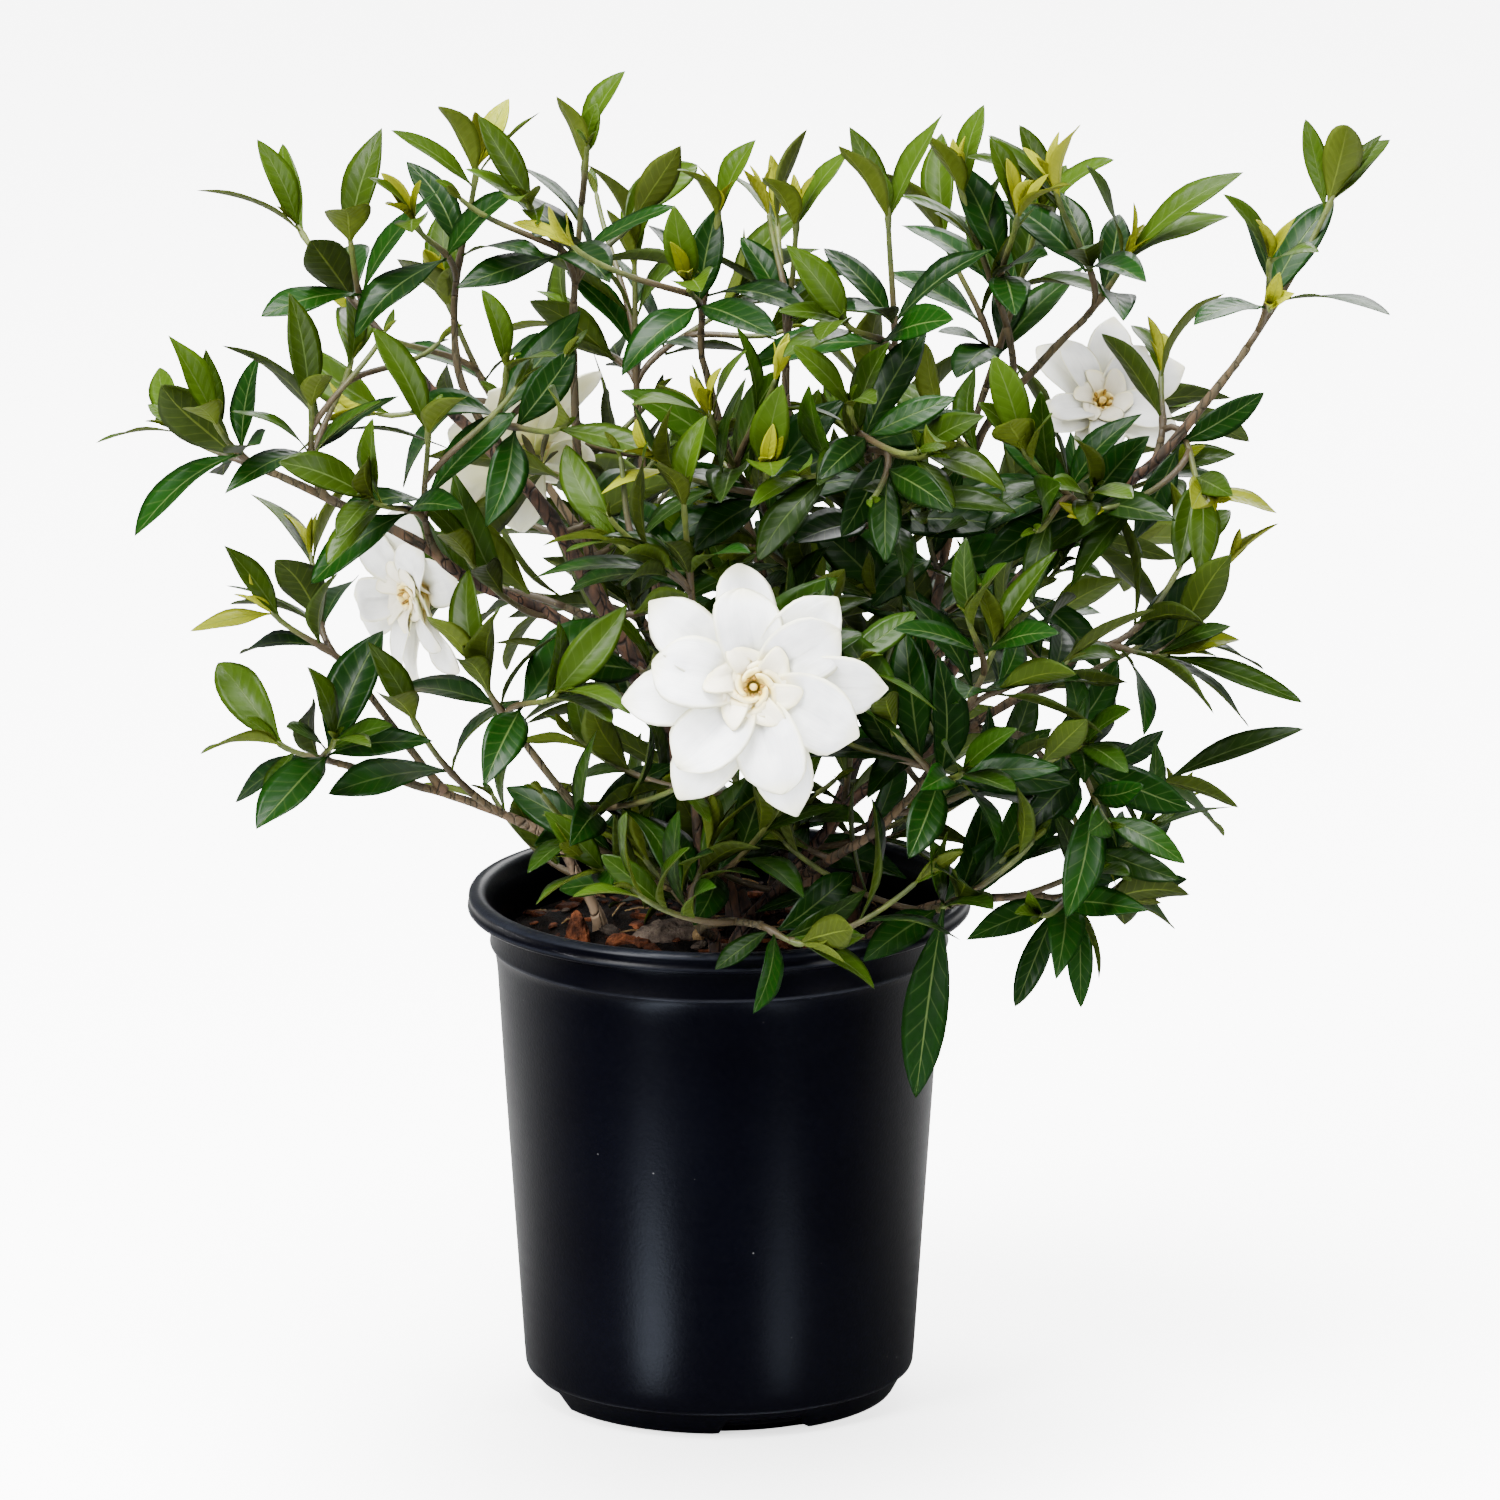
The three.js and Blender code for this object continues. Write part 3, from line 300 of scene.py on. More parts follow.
def square_to(direction):
    return unit(np.cross(direction, UP if abs(direction[2]) < 0.9 else ACROSS))


def frame_round(tangent, reference):
    """Two directions square to a tangent, the first as near as can be to the reference."""
    u = unit(reference - tangent * np.dot(reference, tangent))
    return u, np.cross(tangent, u)


def outward_at(u, v, angle):
    return u * math.cos(angle) + v * math.sin(angle)


def leaning(tangent, outward, pitch, rise=0.0):
    """A direction that leans outwards from a stem by its pitch, and a little up."""
    return unit(tangent * math.cos(pitch) + outward * math.sin(pitch) + UP * rise)


def smooth(edge0, edge1, value):
    t = np.clip((value - edge0) / (edge1 - edge0), 0, 1)
    return t * t * (3 - 2 * t)


def profile(share, table):
    """A smooth line through a short table of (place, value)."""
    places, values = np.array(table, float).T
    slopes = np.gradient(values, places)
    i = np.clip(np.searchsorted(places, share, side="right") - 1, 0, len(places) - 2)
    step = places[i + 1] - places[i]
    t = (share - places[i]) / step
    return ((2 * t**3 - 3 * t**2 + 1) * values[i] + (t**3 - 2 * t**2 + t) * step * slopes[i]
            + (3 * t**2 - 2 * t**3) * values[i + 1] + (t**3 - t**2) * step * slopes[i + 1])


class Curve:
    """A cubic curve from four points."""

    def __init__(self, a, b, c, d):
        self.ends = (a, b, c, d)

    def point(self, t):
        a, b, c, d = self.ends
        s = 1 - t
        return s**3 * a + 3 * s * s * t * b + 3 * s * t * t * c + t**3 * d

    def tangent(self, t):
        return unit(self.point(min(t + 1e-4, 1)) - self.point(max(t - 1e-4, 0)))


class Piece:
    """Gathers closed skins in millimetres and makes one object of them."""

    def __init__(self):
        self.points = []
        self.places = []
        self.tones = []
        self.faces = []
        self.kinds = []
        self.count = 0

    def add(self, points, faces, kind=0, places=None, tone=PLAIN_TONE):
        points = np.asarray(points, float)
        n = len(points)
        self.points.append(points)
        self.places.append(np.zeros((n, 2)) if places is None else np.asarray(places, float))
        self.tones.append(np.broadcast_to(np.asarray(tone, float), (n, 3)))
        offset = self.count
        self.faces += [tuple(i + offset for i in face) for face in faces]
        self.kinds += kind if isinstance(kind, list) else [kind] * len(faces)
        self.count += n

    def make(self, name, materials, slot, *nodes):
        mesh = bpy.data.meshes.new(name)
        points = np.vstack(self.points) * MM
        mesh.from_pydata(points.tolist(), [], self.faces)
        mesh.polygons.foreach_set("material_index", self.kinds)
        mesh.polygons.foreach_set("use_smooth", [True] * len(self.faces))
        loops = np.empty(len(mesh.loops), np.int32)
        mesh.loops.foreach_get("vertex_index", loops)
        layer = mesh.uv_layers.new(name="place")
        layer.data.foreach_set("uv", np.vstack(self.places)[loops].astype(np.float32).ravel())
        tones = np.hstack([np.vstack(self.tones), np.ones((len(points), 1))])
        made = mesh.color_attributes.new("tone", "FLOAT_COLOR", "POINT")
        made.data.foreach_set("color", tones.astype(np.float32).ravel())
        for material in materials:
            mesh.materials.append(material)
        mesh.update()
        piece = bpy.data.objects.new(name, mesh)
        bpy.context.collection.objects.link(piece)
        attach(piece, "root")
        if nodes:
            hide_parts(*nodes)
        return piece


def ring_angles(sides):
    return [math.tau * k / sides for k in range(sides)]


def ring_faces(rings, sides, start_point=None, end_point=None):
    """Quads round a row of rings. Each end closes in a fan to its point, or else in one face."""
    faces = []
    for i in range(rings - 1):
        for k in range(sides):
            a, b = i * sides + k, i * sides + (k + 1) % sides
            faces.append((a, b, b + sides, a + sides))
    last = (rings - 1) * sides
    if start_point is None:
        faces.append(tuple(reversed(range(sides))))
    for k in range(sides):
        after = (k + 1) % sides
        if start_point is not None:
            faces.append((after, k, start_point))
        if end_point is not None:
            faces.append((last + k, last + after, end_point))
    if end_point is None:
        faces.append(tuple(last + k for k in range(sides)))
    return faces


def carried_frames(points):
    """Two square directions at each point of a path, carried along without twist."""
    tangents = np.gradient(points, axis=0)
    tangents /= np.linalg.norm(tangents, axis=1)[:, None]
    u = square_to(tangents[0])
    sides = []
    for tangent in tangents:
        u, _ = frame_round(tangent, u)
        sides.append(u)
    sides = np.array(sides)
    return sides, np.cross(tangents, sides)


def tube(points, radii, sides, bump=None, tip=None):
    """Points and faces of a round stem along a path. bump(ring, angles) scales its radius."""
    points = np.asarray(points, float)
    u, v = carried_frames(points)
    angles = np.linspace(0, math.tau, sides, endpoint=False)
    rings = []
    for i, centre in enumerate(points):
        radius = radii[i] * (bump(i, angles) if bump else np.ones(sides))
        rings.append(centre + radius[:, None] * (np.cos(angles)[:, None] * u[i]
                                                 + np.sin(angles)[:, None] * v[i]))
    skin = np.vstack(rings)
    places = np.array([[k / sides, i / len(points)] for i in range(len(points))
                       for k in range(sides)])
    end = None
    if tip is not None:
        end = len(skin)
        skin, places = np.vstack([skin, tip]), np.vstack([places, [0.5, 1]])
    return skin, ring_faces(len(points), sides, end_point=end), places


# Wood: the same routes as the part's limbs, rounded between their points

def limb_points(route):
    if len(route[0]) == 3:
        return np.array(route, float)
    x, y = route[0]
    ends = [(x, y, SOIL_LEVEL - STEM_DEPTH), (x, y, SOIL_LEVEL + STEM_COLLAR)]
    return np.array(ends + list(route[1:]), float)


def along_limb(route, at):
    points = limb_points(route)
    place = min(at, LIMB_END) * (len(points) - 1)
    i = int(place)
    return lerp(points[i], points[i + 1], place - i), unit(points[i + 1] - points[i])


def rounded(points, place):
    """The smooth line through the points, at a place counted in points."""
    last = len(points) - 1
    i = min(int(place), last - 1)
    t = place - i
    p0 = points[max(i - 1, 0)]
    p1, p2 = points[i], points[i + 1]
    p3 = points[min(i + 2, last)]
    return 0.5 * (2 * p1 + (p2 - p0) * t + (2 * p0 - 5 * p1 + 4 * p2 - p3) * t * t
                  + (3 * p1 - 3 * p2 + p3 - p0) * t**3)


def axis_curve(start, start_tangent, tip, end_tangent=None):
    chord = tip - start
    reach = np.linalg.norm(chord)
    chord = chord / reach
    leave = unit(start_tangent + 0.9 * chord)
    arrive = unit(chord + 0.35 * UP) if end_tangent is None else end_tangent
    return Curve(start, start + leave * reach * 0.33, tip - arrive * reach * 0.3, tip)


def bloom_frame(number):
    """A bloom's centre, the way that it faces, and two directions across its face."""
    centre = np.array(BLOOMS[number]["centre"], float)
    axis = unit(np.array(BLOOMS[number]["facing"], float))
    u = unit(np.cross(UP, axis))
    return centre, axis, u, np.cross(axis, u)


def shoot_axes(spec):
    """Every axis of a shoot with its whorls of leaves, as in the part."""
    wood, limb, at, bare, tips, _, bloom = spec
    point, tangent = along_limb(WOOD[wood][limb][0], at)
    axes = []
    if bloom:
        centre, facing, _, _ = bloom_frame(bloom)
        back = centre - facing * (BOSS_DEPTH + GAP)
        axes.append({"curve": axis_curve(point, tangent, back, facing), "begin": bare,
                     "bloom": bloom})
    for tip in tips:
        if not axes:
            curve, begin = axis_curve(point, tangent, np.array(tip, float)), bare
        else:
            first, fork = axes[0]["curve"], bare + 0.1
            curve = axis_curve(first.point(fork), first.tangent(fork), np.array(tip, float))
            begin = 0
        axes.append({"curve": curve, "begin": begin, "bloom": 0})
    for axis in axes:
        curve, begin = axis["curve"], axis["begin"]
        start = max(begin, FORK_START)
        length = np.linalg.norm(curve.point(1) - curve.point(start))
        count = 2 if axis["bloom"] else min(max(math.floor(length / WHORL_SPACING + 0.5), 2), 5)
        end = BLOOM_LEAF_END if axis["bloom"] else 1
        axis["reference"] = square_to(unit(curve.point(1) - curve.point(0)))
        axis["knots"] = [begin] + [lerp(start, end, k / count) for k in range(1, count + 1)]
        axis["whorls"] = []
        for k in range(count):
            low, high = (curve.point(axis["knots"][k + j]) for j in range(2))
            share = WHORL_PLACE[1] if k == count - 1 else WHORL_PLACE[0]
            axis["whorls"].append({
                "point": lerp(low, high, share),
                "tangent": unit(high - low),
                "age": 0.5 if axis["bloom"] else k / (count - 1),
                "at": lerp(axis["knots"][k], axis["knots"][k + 1], share),
            })
    return axes


# Leaves

def leaf_blade(root, along, upward, length, half, arch, **more):
    normal = unit(upward - along * np.dot(upward, along))
    root = root - along * ROOT_SINK
    tip = root + along * length - normal * length * arch
    return {"root": root, "along": along, "normal": normal, "length": length, "half": half,
            "arch": arch, "tip": tip, **more}


def whorl_leaf(axis, k, j, count, seed, attempt):
    """One try at a leaf of a whorl, by the part's own rule."""
    whorl = axis["whorls"][k]
    tangent = whorl["tangent"]
    u, v = frame_round(tangent, axis["reference"])
    leaf = k * 7 + j
    turn = (1 if attempt % 2 else -1) * math.ceil(attempt / 2) * math.radians(LEAF_TURN)
    jitter = (draw(seed, leaf, 2) - 0.5) * math.radians(LEAF_SPREAD)
    azimuth = math.pi / 4 + k * math.pi / count + j * 2 * math.pi / count + jitter + turn
    low, top, tilt = LEAF_PITCH
    pitch = math.radians(lerp(low, top, whorl["age"])
                         + (draw(seed, leaf, 3 + attempt) - 0.5) * tilt)
    along = leaning(tangent, outward_at(u, v, azimuth), pitch, LEAF_RISE)
    bulge = 0.74 + 0.4 * math.sin(math.pi * (0.15 + 0.8 * whorl["age"]))
    shrink = 1 if attempt < SHORT_LEAF_FROM else SHORT_LEAF
    length = LEAF_LENGTH * bulge * (0.85 + 0.36 * draw(seed, leaf, 20)) * shrink
    half = length * LEAF_SLENDERNESS * (0.88 + 0.3 * draw(seed, leaf, 21))
    return leaf_blade(whorl["point"], along, tangent * 0.8 + UP * 0.5, length, half,
                      0.02 + 0.2 * draw(seed, leaf, 22), age=whorl["age"], key=(seed, leaf))


def reaching_leaf(axis, reach, seed, attempt):
    """One try at a leaf whose tip lies where the photo shows it, by the part's own rule."""
    _, share, tip, half = reach
    knots = axis["knots"]
    last = len(knots) - 1
    k = min(math.floor(share * last), last - 1)
    root = lerp(axis["curve"].point(knots[k]), axis["curve"].point(knots[k + 1]), share * last - k)
    stray = [(draw(seed, attempt, 31 + i) - 0.5) * (attempt * 1.5) * (3 if i == 1 else 1)
             for i in range(3)]
    along = np.array(tip, float) + np.array(stray) - root
    length = np.linalg.norm(along)
    along = along / length
    upward = UP - 0.4 * along + np.array([0, -0.5, 0])
    return leaf_blade(root, along, upward, length, half, 0, age=max(share, 0.4),
                      key=(seed, 60 + k), reach=True)


class Sheet:
    """A thin closed blade's grid: rows by columns above, the inner columns below, one tip."""

    def __init__(self, rows, columns):
        self.s, self.t = np.array(rows)[:, None], np.array(columns)[None, :]
        high, wide = len(rows), len(columns)
        base = high * wide
        tip = base + high * (wide - 2)

        def under(i, j):
            return i * wide + j if j in (0, wide - 1) else base + i * (wide - 2) + j - 1

        self.top, self.under = [], []
        for i in range(high - 1):
            for j in range(wide - 1):
                a = i * wide + j
                self.top.append((a, a + 1, a + 1 + wide, a + wide))
                self.under.append((under(i, j), under(i + 1, j), under(i + 1, j + 1),
                                   under(i, j + 1)))
        for j in range(wide - 1):
            a = (high - 1) * wide + j
            self.top.append((a, a + 1, tip))
            self.under.append((under(high - 1, j + 1), under(high - 1, j), tip))
        self.under.append(tuple(range(wide - 1, -1, -1))
                          + tuple(under(0, j) for j in range(1, wide - 1)))
        place = np.stack(np.broadcast_arrays(self.t * 0.5 + 0.5, self.s), -1)
        self.places = np.vstack([place.reshape(-1, 2), place[:, 1:-1].reshape(-1, 2), [0.5, 1]])

    def add(self, piece, middle, face, height, thick, kinds, tone, tip=None, beyond=None):
        """A blade's two sides, round its middle raised along face. It ends at tip, or beyond."""
        top = middle + face * (height + thick)[..., None]
        low = middle + face * (height - thick)[..., None]
        if tip is None:
            tip = top[-1].mean(0) + beyond
        points = np.vstack([top.reshape(-1, 3), low[:, 1:-1].reshape(-1, 3), tip])
        piece.add(points, self.top + self.under,
                  [kinds[0]] * len(self.top) + [kinds[1]] * len(self.under), self.places, tone)


LEAF_SHEET = Sheet([0, 0.05, 0.1, 0.17, 0.25, 0.34, 0.44, 0.54, 0.64, 0.74, 0.83, 0.91, 0.965],
                   [-1, -0.68, -0.34, 0, 0.34, 0.68, 1])
LEAF_WIDTH = [(0, 0.06), (0.06, 0.08), (0.12, 0.22), (0.22, 0.58), (0.36, 0.9), (0.5, 1.0),
              (0.62, 0.95), (0.76, 0.7), (0.88, 0.36), (0.95, 0.14), (1, 0.0)]
FULL_WIDTH = [(0, 0.06), (0.06, 0.08), (0.12, 0.18), (0.22, 0.45), (0.36, 0.78), (0.5, 0.96),
              (0.62, 1.0), (0.76, 0.86), (0.88, 0.55), (0.95, 0.27), (1, 0.0)]


def add_leaf(piece, leaf, kinds, tone):
    """A fine leaf where its solid stands: petiole, folded and gently waved blade, drawn tip."""
    seed, number = leaf["key"]
    s, t = LEAF_SHEET.s, LEAF_SHEET.t
    length, along, normal = leaf["length"], leaf["along"], leaf["normal"]
    across = unit(np.cross(along, normal))
    rise = spread(draw(seed, number, 41), 0.05, 0.06)
    sway = spread(draw(seed, number, 42), 0, 0.1) * (0.3 if leaf.get("reach") else 1)
    fold = spread(draw(seed, number, 43), 0.26, 0.3) * leaf.get("fold", 1)
    ripple = spread(draw(seed, number, 44), 0.07, 0.08)
    phase = draw(seed, number, 45) * 6.28
    twist = spread(draw(seed, number, 46), 0, 0.7) * s**1.5
    rib = (leaf["root"] + along * length * s - normal * length * leaf["arch"] * s**2
           + normal * length * rise * np.sin(math.pi * s)
           + across * length * sway * np.sin(math.pi * s) * s)
    bend = np.arctan(-2 * leaf["arch"] * s + rise * math.pi * np.cos(math.pi * s))
    lift = normal * np.cos(bend) - along * np.sin(bend)
    outline = lerp(profile(s, LEAF_WIDTH), profile(s, FULL_WIDTH), draw(seed, number, 47))
    half = leaf["half"] * (0.98 if leaf.get("reach") else 0.92) * outline + 0.25
    side = across * np.cos(twist) + lift * np.sin(twist)
    face = lift * np.cos(twist) - across * np.sin(twist)
    x = half * t
    edge = np.abs(t)
    height = (fold * np.abs(x) - 0.22 * half * edge * (1 - edge)
              + half * ripple * edge**2 * np.sin(9.5 * s + phase + 2.2 * (t > 0)))
    thick = (0.16 + 0.34 * smooth(0.16, 0.02, s)
             + 0.22 * np.exp(-(t / 0.12) ** 2) * smooth(1.02, 0.7, s))
    thick = thick * np.sqrt(np.clip(1 - t**2, 0, 1))
    middle = rib[:, None, :] + x[..., None] * side[:, None, :]
    LEAF_SHEET.add(piece, middle, face[:, None, :], height, thick, kinds, tone, tip=leaf["tip"])


class Room:
    """Keeps leaves clear of each other by points along their ribs."""

    def __init__(self, points=()):
        self.points = []
        self.owners = []
        self.add(points)
        self.settle()

    def add(self, points, owner=None):
        self.points += [tuple(p) for p in points]
        self.owners += [owner] * len(points)

    def settle(self):
        self.tree = KDTree(max(len(self.points), 1))
        for i, point in enumerate(self.points):
            self.tree.insert(point, i)
        self.tree.balance()

    def clear(self, points, reach, owner=None):
        """Whether nothing but the owner's own points is within reach."""
        return all(owner is not None and self.owners[i] == owner
                   for point in points for _, i, _ in self.tree.find_range(tuple(point), reach))


def rib_points(leaf, shares=(0.35, 0.55, 0.75, 0.95)):
    return [leaf["root"] + leaf["along"] * leaf["length"] * s
            - leaf["normal"] * leaf["length"] * leaf["arch"] * s * s for s in shares]


def placed_leaf(tree, tries):
    """The try that the part kept: the one whose tip is a corner of the shoot's solid."""
    return next((leaf for leaf in tries if tree.find(leaf["tip"] * MM)[2] < CORNER_MATCH), None)


def part_leaves(shoots):
    """The leaves that the solids have, found again by their tips."""
    for shoot in shoots:
        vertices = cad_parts[shoot["name"]].data.vertices
        corners = KDTree(len(vertices))
        for i, vertex in enumerate(vertices):
            corners.insert(vertex.co, i)
        corners.balance()
        found = []
        for i, reach in enumerate(shoot["spec"][5]):
            axis = shoot["axes"][reach[0]]
            found.append(placed_leaf(corners, (
                reaching_leaf(axis, reach, shoot["seed"] * 10 + i, attempt)
                for attempt in range(LEAF_TRIES))))
        for number, axis in enumerate(shoot["axes"]):
            seed = shoot["seed"] * 10 + number
            for k in range(len(axis["whorls"])):
                count = 3 if draw(seed, k, 4) < THREE_LEAF_SHARE else 2
                for j in range(count):
                    found.append(placed_leaf(corners, (
                        whorl_leaf(axis, k, j, count, seed, attempt)
                        for attempt in range(LEAF_TRIES))))
        shoot["leaves"] += [leaf for leaf in found if leaf]


def bloom_room():
    """Points that keep added leaves off the blooms and out of the front bloom's sight."""
    points = []
    for number, spec in BLOOMS.items():
        centre, axis, u, v = bloom_frame(number)
        depths = (0, 12, 24, 36) if number == 1 else (0, 12)
        rings = [(centre + axis * depth, u, v, 1.0) for depth in depths]
        if number > 1:
            front = np.array([0.0, -1.0, 0.1])
            rings += [(centre + front * depth, ACROSS, UP, 0.5) for depth in range(14, 190, 11)]
        for middle, a, b, wide in rings:
            for ring in (0, 0.2, 0.4, 0.6, 0.8, 1):
                for angle in np.linspace(0, math.tau, 1 + int(20 * ring), endpoint=False):
                    points.append(middle + spec["radius"] * ring * wide * outward_at(a, b, angle))
    return points


def off_blooms(points):
    """Whether points stay clear of the petals, and of the air just in front of them."""
    for number, spec in BLOOMS.items():
        centre, axis, _, _ = bloom_frame(number)
        for point in points:
            depth = np.dot(point - centre, axis)
            away = np.linalg.norm(point - centre - axis * depth)
            if (BLOOM_AIR[0] < depth < BLOOM_AIR[1]
                    and away < spec["radius"] * BLOOM_EDGE):
                return False
    return True


def within_crown(point):
    """Whether a point shows inside the crown's outline from the front."""
    x, z = point[0], point[2] + APPARENT_RISE * point[1]
    inside = False
    for (x0, z0), (x1, z1) in zip(CROWN, CROWN[1:] + CROWN[:1]):
        if (z0 > z) != (z1 > z) and x < (x1 - x0) * (z - z0) / (z1 - z0) + x0:
            inside = not inside
    return inside


def within_box(point, margin):
    low, high = (np.array(corner) / MM for corner in cad_box)
    return np.all(point > low + margin) and np.all(point < high - margin)


def fullness(point):
    """How closely the crown is filled there: most in the middle, least at its upper edges."""
    away = ((point[0] - 70) / 140) ** 2 + ((point[2] - 365) / 112) ** 2
    return 0.04 + 1.1 * math.exp(-0.5 * away)


def added_leaf(axis, seed, k, j, at, attempt):
    """One try at a finer leaf on an axis, the j-th of pair k."""
    curve = axis["curve"]
    tangent = curve.tangent(at)
    u, v = frame_round(tangent, axis["reference"])
    key = k * 9 + j * 4
    azimuth = k * 1.35 + j * math.pi + attempt * 0.7 + spread(draw(seed, key, 50), 0, 0.8)
    pitch = math.radians(spread(draw(seed, key, 51 + attempt), lerp(56, 24, at), 22))
    along = leaning(tangent, outward_at(u, v, azimuth), pitch, 0.1)
    size = (41 + 22 * draw(seed, key, 60)) * (1.08 - 0.42 * at**3)
    half = size * spread(draw(seed, key, 61), 0.165, 0.04)
    return leaf_blade(curve.point(at), along, tangent * 0.8 + UP * 0.5, size, half,
                      0.05 + 0.2 * draw(seed, key, 62), age=at, key=(seed, key))


def added_leaves(shoots):
    """Finer leaves between the part's whorls and at the tips, kept inside the part's box."""
    room = Room(bloom_room() + [point for shoot in shoots for leaf in shoot["leaves"]
                                for point in rib_points(leaf)])

    def fits(reach, seed):
        return (all(within_box(point, LEAF_MARGIN) and within_crown(point) for point in reach)
                and off_blooms(reach) and room.clear(reach, LEAF_CLEARANCE, seed))

    for shoot in shoots:
        for number, axis in enumerate(shoot["axes"]):
            seed = LEAF_SEEDS + shoot["seed"] * 10 + number
            curve, begin = axis["curve"], max(axis["begin"], FORK_START)
            length = np.linalg.norm(curve.point(1) - curve.point(begin))
            end = BLOOM_LEAF_END if axis["bloom"] else 0.97
            spacing = TWIG_LEAF_SPACING if axis.get("added") else AXIS_LEAF_SPACING
            count = max(1, round(length / spacing))
            for k in range(count):
                at = lerp(begin, end, (k + 0.55) / count)
                if draw(seed, k, 49) > LEAF_DENSITY * fullness(curve.point(at)):
                    continue
                for j in range(2):
                    leaf = next((leaf for leaf in (added_leaf(axis, seed, k, j, at, attempt)
                                                   for attempt in range(ADDED_TRIES))
                                 if fits(rib_points(leaf), seed)), None)
                    if leaf:
                        shoot["leaves"].append(leaf)
                        room.add(rib_points(leaf), seed)
            room.settle()


def seated(shoot, room, curve, shares, clearance, **more):
    """Adds a leafy twig to a shoot where its outer part has room, and says whether it had."""
    stand = [curve.point(s) for s in shares]
    if not room.clear(stand, clearance):
        return False
    start, _, _, tip = curve.ends
    shoot["axes"].append({"curve": curve, "begin": 0.0, "bloom": 0, "whorls": [], "added": True,
                          "reference": square_to(unit(tip - start)), **more})
    room.add(stand)
    return True


def added_twigs(shoots):
    """Short leafy side twigs on the part's axes, which fill the crown as on the real shrub."""
    room = Room(bloom_room())
    for shoot in shoots:
        for number, axis in enumerate(list(shoot["axes"])):
            seed = TWIG_SEEDS + shoot["seed"] * 10 + number
            curve = axis["curve"]
            count = 1 if axis["bloom"] or number else 2
            for k in range(count):
                if draw(seed, k, 79) > TWIG_DENSITY * fullness(curve.point(0.6)):
                    continue
                at = lerp(max(axis["begin"], 0.15), 0.85, (k + draw(seed, k, 80)) / count)
                start, tangent = curve.point(at), curve.tangent(at)
                u, v = frame_round(tangent, axis["reference"])
                for attempt in range(TWIG_TRIES):
                    outward = outward_at(u, v, k * 2.3 + attempt * 1.05 + draw(seed, k, 81) * 2)
                    reach = TWIG_REACH * (0.75 + 0.6 * draw(seed, k, 82)) * (1 - 0.07 * attempt)
                    way = unit(tangent * 0.75 + outward * 0.85 + UP * 0.25)
                    tip = start + way * reach
                    grown = Curve(start, start + unit(tangent + outward * 0.5) * reach * 0.33,
                                  tip - unit(way + 0.4 * UP) * reach * 0.3, tip)
                    if (within_box(tip, TWIG_MARGIN) and tip[2] > TWIG_LOWEST
                            and within_crown(tip + way * 12)
                            and seated(shoot, room, grown, (0.5, 0.75, 1.0),
                                       TWIG_CLEARANCE)):
                        break
            room.settle()


def limb_twigs(shoots):
    """Leafy twigs low on the limbs, which close the shrub's middle behind the front bloom."""
    room = Room(bloom_room())
    for number, (name, limbs) in enumerate(WOOD.items()):
        carrier = next(shoot for shoot in shoots if shoot["spec"][0] == name)
        for limb, (route, _) in enumerate(limbs):
            points = limb_points(route)
            last = len(points) - 1
            length = np.linalg.norm(np.diff(points, axis=0), axis=1).sum()
            for k in range(int(length / LIMB_TWIG_SPACING)):
                seed = LIMB_SEEDS + number * 40 + limb * 10 + k
                place = (k + 0.2 + 0.6 * draw(seed, k, 83)) * LIMB_TWIG_SPACING / length * last
                start = rounded(points, min(place, last - 0.01))
                low, high = LIMB_TWIG_HEIGHTS
                if (not low < start[2] < high
                        or abs(start[0] - LIMB_TWIG_MIDDLE) > LIMB_TWIG_SPAN):
                    continue
                for attempt in range(TWIG_TRIES):
                    outward = outward_at(ACROSS, INWARD,
                                         k * 2.4 + attempt * 1.05 + draw(seed, k, 84) * 2)
                    way = unit(outward + UP * (0.35 + 0.5 * draw(seed, k, 85)))
                    tip = start + way * (52 + 34 * draw(seed, k, 86))
                    grown = Curve(start, start + outward * 16, tip - unit(way + UP * 0.5) * 20, tip)
                    over_rim = tip[2] < RIM_HEIGHT and math.hypot(*tip[:2]) > RIM_RADIUS
                    if (not over_rim and within_crown(tip + way * 10)
                            and seated(carrier, room, grown, (0.4, 0.7, 1.0),
                                       LIMB_TWIG_CLEARANCE, low=True)):
                        break
            room.settle()


def tip_leaves(axis, seed, young):
    """The newest leaves of a shoot: small, upright and folded round the bud."""
    curve = axis["curve"]
    tangent = curve.tangent(1)
    u, v = frame_round(tangent, axis["reference"])
    leaves = []
    for j in range(3 if young else 2):
        outward = outward_at(u, v, j * 1.9 + draw(seed, j, 70) * 2)
        pitch = math.radians(8 + 16 * draw(seed, j, 71) + 5 * (j % 2))
        size = (19 + 14 * draw(seed, j, 72)) if young else (11 + 8 * draw(seed, j, 72))
        leaves.append(leaf_blade(curve.point(0.985), leaning(tangent, outward, pitch),
                                 tangent * 0.9 - outward, size, size * 0.13, 0.04, age=1.2,
                                 key=(seed, 80 + j), fold=1.6, low=axis.get("low")))
    return leaves


# Materials

